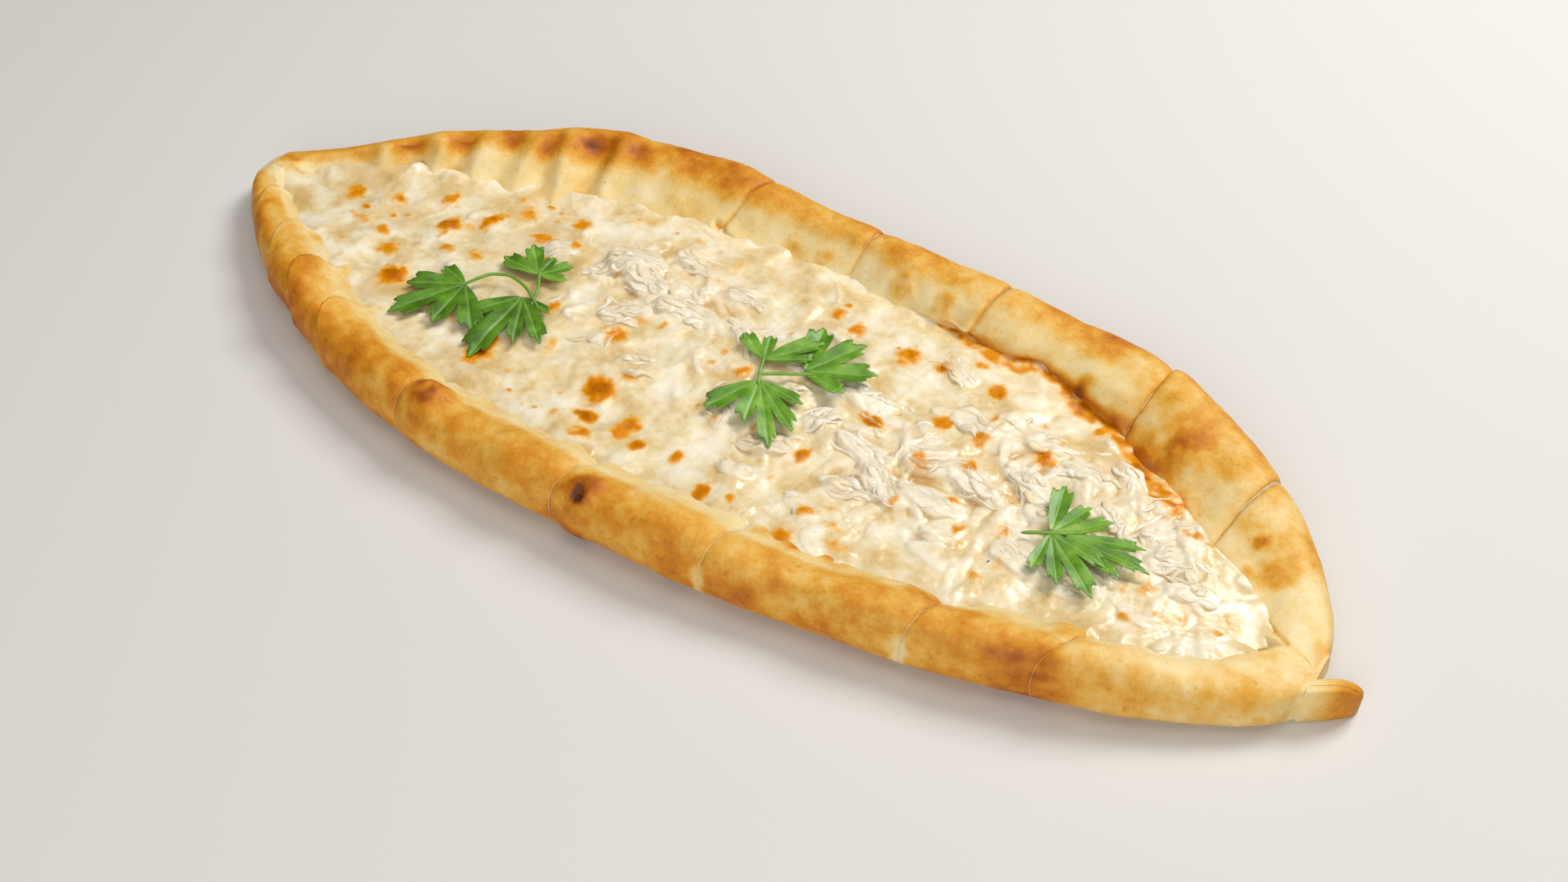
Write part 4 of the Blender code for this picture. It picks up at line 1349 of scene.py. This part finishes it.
fibre = add_node(
    chicken,
    "ShaderNodeTexNoise",
    {"Vector": coordinates, "Scale": 1.0 / (0.6 * MM), "Detail": 2.0},
).outputs["Fac"]
fibre_bump = add_node(chicken, "ShaderNodeBump", {"Height": fibre, "Strength": 0.2, "Distance": 0.2 * MM})
chicken.node_tree.links.new(fibre_bump.outputs["Normal"], shader.inputs["Normal"])

# %% Add the strands
shreds = make_piece("pulled_chicken_strands", points, faces, {"toast": strand_toast, "tone": strand_tone}, [chicken])
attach(shreds, "root")
print("chicken strands:", len(points), "triangles:", 2 * len(faces))

# %% [markdown]
# ## Parsley
#
# Flat-leaf parsley has three-part leaves, each part deeply lobed and toothed. A leaf here is a grid in
# polar form: one parameter goes round the leaf's toothed edge, and the other goes out from its foot. The
# leaf is cupped between its lobes, its veins are shallow grooves along the lobes, and its tips droop or
# lift. The lobes' ends are the CAD part's own places.

# %% Leaf form
# Each sprig, in millimetres: for each leaf its foot, the ends of its lobes in order round it, how far its
# foot stands above the cheese, and how far its tips lift; and for each stem its path with heights above
# the cheese.
SPRIGS = {
    "parsley_sprig_1": {
        "leaves": [
            ([(-97, -22), (-109, -19), (-114, -32), (-110, -45), (-94, -42), (-81, -37)], 3.2, -1.6),
            ([(-78, -16), (-87, -30), (-75, -46), (-67, -34), (-60, -29), (-66, -17)], 3.0, -1.4),
            ([(-81, -5), (-96, -5), (-91.5, 5), (-81.5, 4.5), (-73.5, 4), (-71.5, -2)], 3.4, 0.6),
        ],
        "stems": [
            [(-70, -17.5, 2.6), (-79, -13, 4.4), (-86.5, -12, 5.0), (-93, -15, 4.4), (-98, -24, 3.0)],
            [(-73, -18, 2.6), (-76, -11, 3.4), (-82, -3, 3.4)],
        ],
    },
    "parsley_sprig_2": {
        "leaves": [
            ([(6, -4), (-1.5, -22.5), (12.5, -21), (24.7, -25), (26.5, -15.5), (22.5, -4.5)], 2.8, -1.2),
            ([(15, 7), (9.5, 26), (25, 26.5), (35, 17.5), (31, 5)], 3.2, 1.2),
            ([(2, 4), (-10.5, 10), (-2.5, 14), (14, 20), (15, 12)], 3.4, 0.6),
        ],
        "stems": [
            [(1, 6, 3.4), (4, -1, 3.2), (7, -6, 2.8)],
            [(4, -2.5, 3.2), (11, 2, 3.6), (18, 7, 3.2)],
        ],
    },
    "parsley_sprig_3": {
        "leaves": [
            ([(108.7, -6.6), (103.5, 10.5), (114, 7.5), (122, 5.5)], 2.6, 1.2),
            ([(112, -5), (134, 2.5), (138.5, -4.5), (133, -11)], 2.8, 0.2),
            ([(109, -7.5), (111, -23), (120, -23.5), (130, -22), (128, -10)], 3.4, 0.4),
        ],
        "stems": [[(101.5, -11.5, 2.2), (107, -8, 2.6), (113, -5, 3.0)]],
    },
}
LEAF_RINGS = 16
LEAF_SPOKES = 240
LEAF_THICKNESS = 0.32 * MM
CHEESE_UNDER = 1.0 * MM


def leaf_outline(foot, tips):
    """The reach of a leaf's edge in each direction from its foot: broad wedges with three blunt teeth
    each.

    A wedge's reach is its lobe's length over 1 + 0.45 t^5, where t is the angle from the lobe's line,
    counted in half gaps to its neighbour, times a cosine of three waves for the teeth. The furthest
    wedge gives the edge.
    """
    foot = np.array(foot)
    reaches = np.array(tips) - foot
    length = np.hypot(*reaches.T)
    angle = np.unwrap(np.arctan2(reaches[:, 1], reaches[:, 0]))
    order = 1.0 if angle[-1] > angle[0] else -1.0
    spread = np.linspace(angle[0] - order * 0.55, angle[-1] + order * 0.55, LEAF_SPOKES)
    gaps = np.abs(np.diff(angle))
    width = 0.5 * np.stack([np.insert(gaps, 0, gaps[0]), np.append(gaps, gaps[-1])])
    width = np.clip(width, 0.16, 0.40) * 0.97
    off = (spread[None, :] - angle[:, None]) * order
    off = off / np.where(off < 0, width[0][:, None], width[1][:, None])
    wedge = 1.0 / (1.0 + 0.45 * np.abs(off) ** 5)
    teeth = 0.94 + 0.06 * np.cos(3.0 * math.pi * np.clip(off, -1, 1))
    reach = (length[:, None] * wedge * teeth * (1.0 - 0.22 * np.minimum(np.abs(off), 1.0) ** 2)).max(axis=0)
    along = np.cumsum(np.hypot(np.gradient(reach), reach * np.gradient(spread)))
    reach = reach * (1.0 - 0.035 * np.abs(((along / 1.9) % 1.0) - 0.5) * 2.0)
    return foot, spread, reach, angle, length


def leaf_grid(corners, lift, tip_lift, level, seed):
    """The upper face of a leaf, in metres, with how close each point is to a vein."""
    foot, spread, reach, angles, lengths = leaf_outline(corners[0], corners[1:])
    ring = np.linspace(0.02, 1.0, LEAF_RINGS)[:, None] ** 0.85
    x = foot[0] + ring * reach * np.cos(spread)
    y = foot[1] + ring * reach * np.sin(spread)
    from_foot = ring * reach
    off_vein = np.min(np.abs(from_foot[..., None] * np.sin(spread[None, :, None] - angles)), axis=-1)
    off_vein = np.where(from_foot < 1.0, 0.0, off_vein)
    out = from_foot / lengths.max()
    cup = 0.35 * np.minimum(off_vein, 4.0) * smooth(0.05, 0.5, out)
    waves = 0.9 * noise(x * MM, y * MM, 0 * x, 8 * MM, 100 + seed) + 0.35 * noise(x * MM, y * MM, 0 * x, 3.5 * MM, 110 + seed)
    z = level + (lift + tip_lift * out**1.6 + cup * 0.6 - 0.5 * np.exp(-((off_vein / 0.5) ** 2)) * 0.35 + waves * out) * MM
    side_vein = np.abs(((from_foot * 0.9 + 0.9 * off_vein) / 2.6) % 1.0 - 0.5) * 2.0
    vein = np.maximum(np.exp(-((off_vein / 0.35) ** 2)), 0.45 * (side_vein > 0.86) * (off_vein > 0.3))
    return np.stack([x * MM, y * MM, z], -1), vein


def leaf_mesh(corners, lift, tip_lift, level, seed):
    """A leaf with a thickness: its upper face and a lower copy, joined all round the edge and at the
    foot.
    """
    upper, vein = leaf_grid(corners, lift, tip_lift, level, seed)
    under = read_raster(raster_height, upper[..., 0], upper[..., 1]) + CHEESE_UNDER
    upper[..., 2] = np.maximum(upper[..., 2], under)
    upper[..., 2] = np.minimum(upper[..., 2], cad_high[2] - 0.2 * MM)
    lower = upper.copy()
    lower[..., 2] -= LEAF_THICKNESS
    rows, columns = upper.shape[:2]
    count = rows * columns
    top = grid_faces(rows, columns, False)
    turned = np.cross(upper[2, 1] - upper[1, 1], upper[1, 2] - upper[1, 1])[2] < 0
    top = top[:, ::-1] if not turned else top
    bottom = top[:, ::-1] + count
    index = np.arange(count).reshape(rows, columns)
    border = np.concatenate([index[0, :-1], index[:-1, -1], index[-1, :0:-1], index[:0:-1, 0]])
    following = np.roll(border, -1)
    wall = np.stack([border, following, following + count, border + count], -1)
    wall = wall if not turned else wall[:, ::-1]
    points = np.concatenate([upper.reshape(-1, 3), lower.reshape(-1, 3)])
    return points, np.concatenate([top, bottom, wall]), np.concatenate([vein.ravel(), vein.ravel()])


def stem_mesh(path, level, radius):
    """A stem: a round tube along a smooth line through its path, with a rounded end at each end."""
    corners = np.array(path, float)
    corners[:, 2] = corners[:, 2] + level / MM
    at = np.linspace(0, 1, 4 * len(corners) + 9)
    knots = np.linspace(0, 1, len(corners))
    line = np.stack([np.interp(at, knots, corners[:, k]) for k in range(3)], -1)
    for _ in range(3):
        line[1:-1] = 0.25 * line[:-2] + 0.5 * line[1:-1] + 0.25 * line[2:]
    line = line * MM
    ahead = np.gradient(line, axis=0)
    ahead /= np.linalg.norm(ahead, axis=1, keepdims=True)
    side = np.cross(ahead, [0, 0, 1.0])
    side /= np.linalg.norm(side, axis=1, keepdims=True)
    up = np.cross(side, ahead)
    angle = np.linspace(0, 2 * math.pi, 10, endpoint=False)[None, :, None]
    size = radius * np.clip(1.0 - np.abs(2 * at - 1) ** 12, 0.05, 1)[:, None, None]
    tube = line[:, None] + size * (np.cos(angle) * side[:, None] + np.sin(angle) * up[:, None])
    rows, columns = tube.shape[:2]
    faces = grid_faces(rows, columns, True)
    return tube.reshape(-1, 3), faces, (list(range(columns))[::-1], list(range((rows - 1) * columns, rows * columns)))


# %% [markdown]
# ## Fresh parsley as a material
#
# A leaf is a mid green with a waxy satin, lighter along its veins, and some light comes through it. Its
# colour shifts a little from leaf to leaf.

# %% Material: fresh parsley leaf
parsley, shader, coordinates = new_material("fresh flat-leaf parsley")
greens_noise = add_node(
    parsley,
    "ShaderNodeTexNoise",
    {"Vector": coordinates, "Scale": 1.0 / (7.0 * MM), "Detail": 3.0},
).outputs["Fac"]
stored_shade = add_node(parsley, "ShaderNodeAttribute", attribute_name="shade").outputs["Fac"]
greens_sum = add_node(
    parsley,
    "ShaderNodeMath",
    {0: greens_noise, 1: stored_shade},
    operation="ADD",
).outputs[0]
greens = add_node(
    parsley,
    "ShaderNodeValToRGB",
    {"Fac": greens_sum},
    stops=[(0.25, "#42680E"), (0.5, "#5F9120"), (0.8, "#93BC46")],
).outputs["Color"]
stored_vein = add_node(parsley, "ShaderNodeAttribute", attribute_name="vein").outputs["Fac"]
veined_share = add_node(
    parsley,
    "ShaderNodeMapRange",
    {"Value": stored_vein, "From Min": 0.1, "From Max": 1.0, "To Min": 0.0, "To Max": 0.5},
).outputs["Result"]
veined = add_node(
    parsley,
    "ShaderNodeMix",
    {0: veined_share, 6: greens, 7: linear("#8DB454")},
    data_type="RGBA",
).outputs[2]
parsley.node_tree.links.new(veined, shader.inputs["Base Color"])
shader.inputs["Roughness"].default_value = 0.42
shader.inputs["Subsurface Weight"].default_value = 0.1
shader.inputs["Subsurface Scale"].default_value = 1 * MM
leaf_bump_noise = add_node(
    parsley,
    "ShaderNodeTexNoise",
    {"Vector": coordinates, "Scale": 1.0 / (1.2 * MM), "Detail": 2.0},
).outputs["Fac"]
leaf_bump = add_node(
    parsley,
    "ShaderNodeBump",
    {"Height": leaf_bump_noise, "Strength": 0.25, "Distance": 0.2 * MM},
)
parsley.node_tree.links.new(leaf_bump.outputs["Normal"], shader.inputs["Normal"])

# %% Build the sprigs
for number, (node, sprig) in enumerate(SPRIGS.items()):
    all_points, all_faces, all_veins, all_shades = [], [], [], []
    count = 0
    places = np.array([corner for corners, _, _ in sprig["leaves"] for corner in corners]) * MM
    level = float(read_raster(raster_height, places[:, 0], places[:, 1]).mean())
    for leaf_number, (corners, lift, tip_lift) in enumerate(sprig["leaves"]):
        points, faces, vein = leaf_mesh(corners, lift, tip_lift, level, 10 * number + leaf_number)
        all_points.append(points)
        all_faces += [tuple(face) for face in (faces + count).tolist()]
        all_veins.append(vein)
        all_shades.append(np.full(len(points), 0.12 * noise_box[leaf_number, number, 7] - (0.16, 0.04, 0.02)[number]))
        count += len(points)
    for path in sprig["stems"]:
        points, faces, ends = stem_mesh(path, level, 0.55 * MM)
        all_points.append(points)
        all_faces += [tuple(face) for face in (faces[:, ::-1] + count).tolist()]
        all_faces += [tuple(k + count for k in end[::-1]) for end in ends]
        all_veins.append(np.full(len(points), 0.7))
        all_shades.append(np.zeros(len(points)))
        count += len(points)
    values = {"vein": np.concatenate(all_veins), "shade": np.concatenate(all_shades)}
    piece = make_piece(f"fresh_{node}", np.concatenate(all_points), all_faces, values, [parsley])
    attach(piece, "root")
    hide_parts(node)
    print(node, "triangles:", 2 * len(all_faces))

# %% [markdown]
# ## Floor, light and camera
#
# The pide lies on a plain pale floor. A large soft lamp behind and to the right gives the melted cheese its
# sheen, as a window would, and a weaker one in front fills the shadows. The camera looks down at about 46
# degrees along the boat's diagonal.

# %% Stage
floor_mesh = bpy.data.meshes.new("pale floor")
reach = 6.0
floor_mesh.from_pydata([(-reach, -reach, 0), (reach, -reach, 0), (reach, reach, 0), (-reach, reach, 0)], [], [(0, 1, 2, 3)])
floor_material, shader, coordinates = new_material("matt painted floor")
shader.inputs["Base Color"].default_value = linear("#D8D4CE")
shader.inputs["Roughness"].default_value = 0.8
floor_mesh.materials.append(floor_material)
floor = bpy.data.objects.new("floor", floor_mesh)
bpy.context.scene.collection.objects.link(floor)
floor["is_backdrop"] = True


def add_lamp(name, place, target, size, power):
    """A square soft lamp at a place, turned to face a target."""
    lamp = bpy.data.lights.new(name, "AREA")
    lamp.size = size
    lamp.energy = power
    holder = bpy.data.objects.new(name, lamp)
    holder.location = place
    holder.rotation_euler = (Vector(target) - Vector(place)).to_track_quat("-Z", "Y").to_euler()
    bpy.context.scene.collection.objects.link(holder)
    holder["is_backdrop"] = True


add_lamp("window", (0.28, 0.85, 1.00), (0, 0, 0), 0.55, 14.5)
add_lamp("overhead", (0.1, 0.1, 1.6), (0, 0, 0), 1.4, 9.0)
add_lamp("front fill", (0.5, -1.3, 0.8), (0, 0, 0), 1.2, 15.5)

camera = bpy.data.cameras.new("camera")
camera.lens = 43.2
camera.sensor_width = 36.0
viewer = bpy.data.objects.new("camera", camera)
viewer.location = (0.2498, -0.3350, 0.4106)
viewer.rotation_euler = Vector((-0.4038, 0.5694, -0.7161)).to_track_quat("-Z", "Y").to_euler()
bpy.context.scene.collection.objects.link(viewer)
bpy.context.scene.camera = viewer
bpy.context.scene.view_settings.view_transform = "Standard"
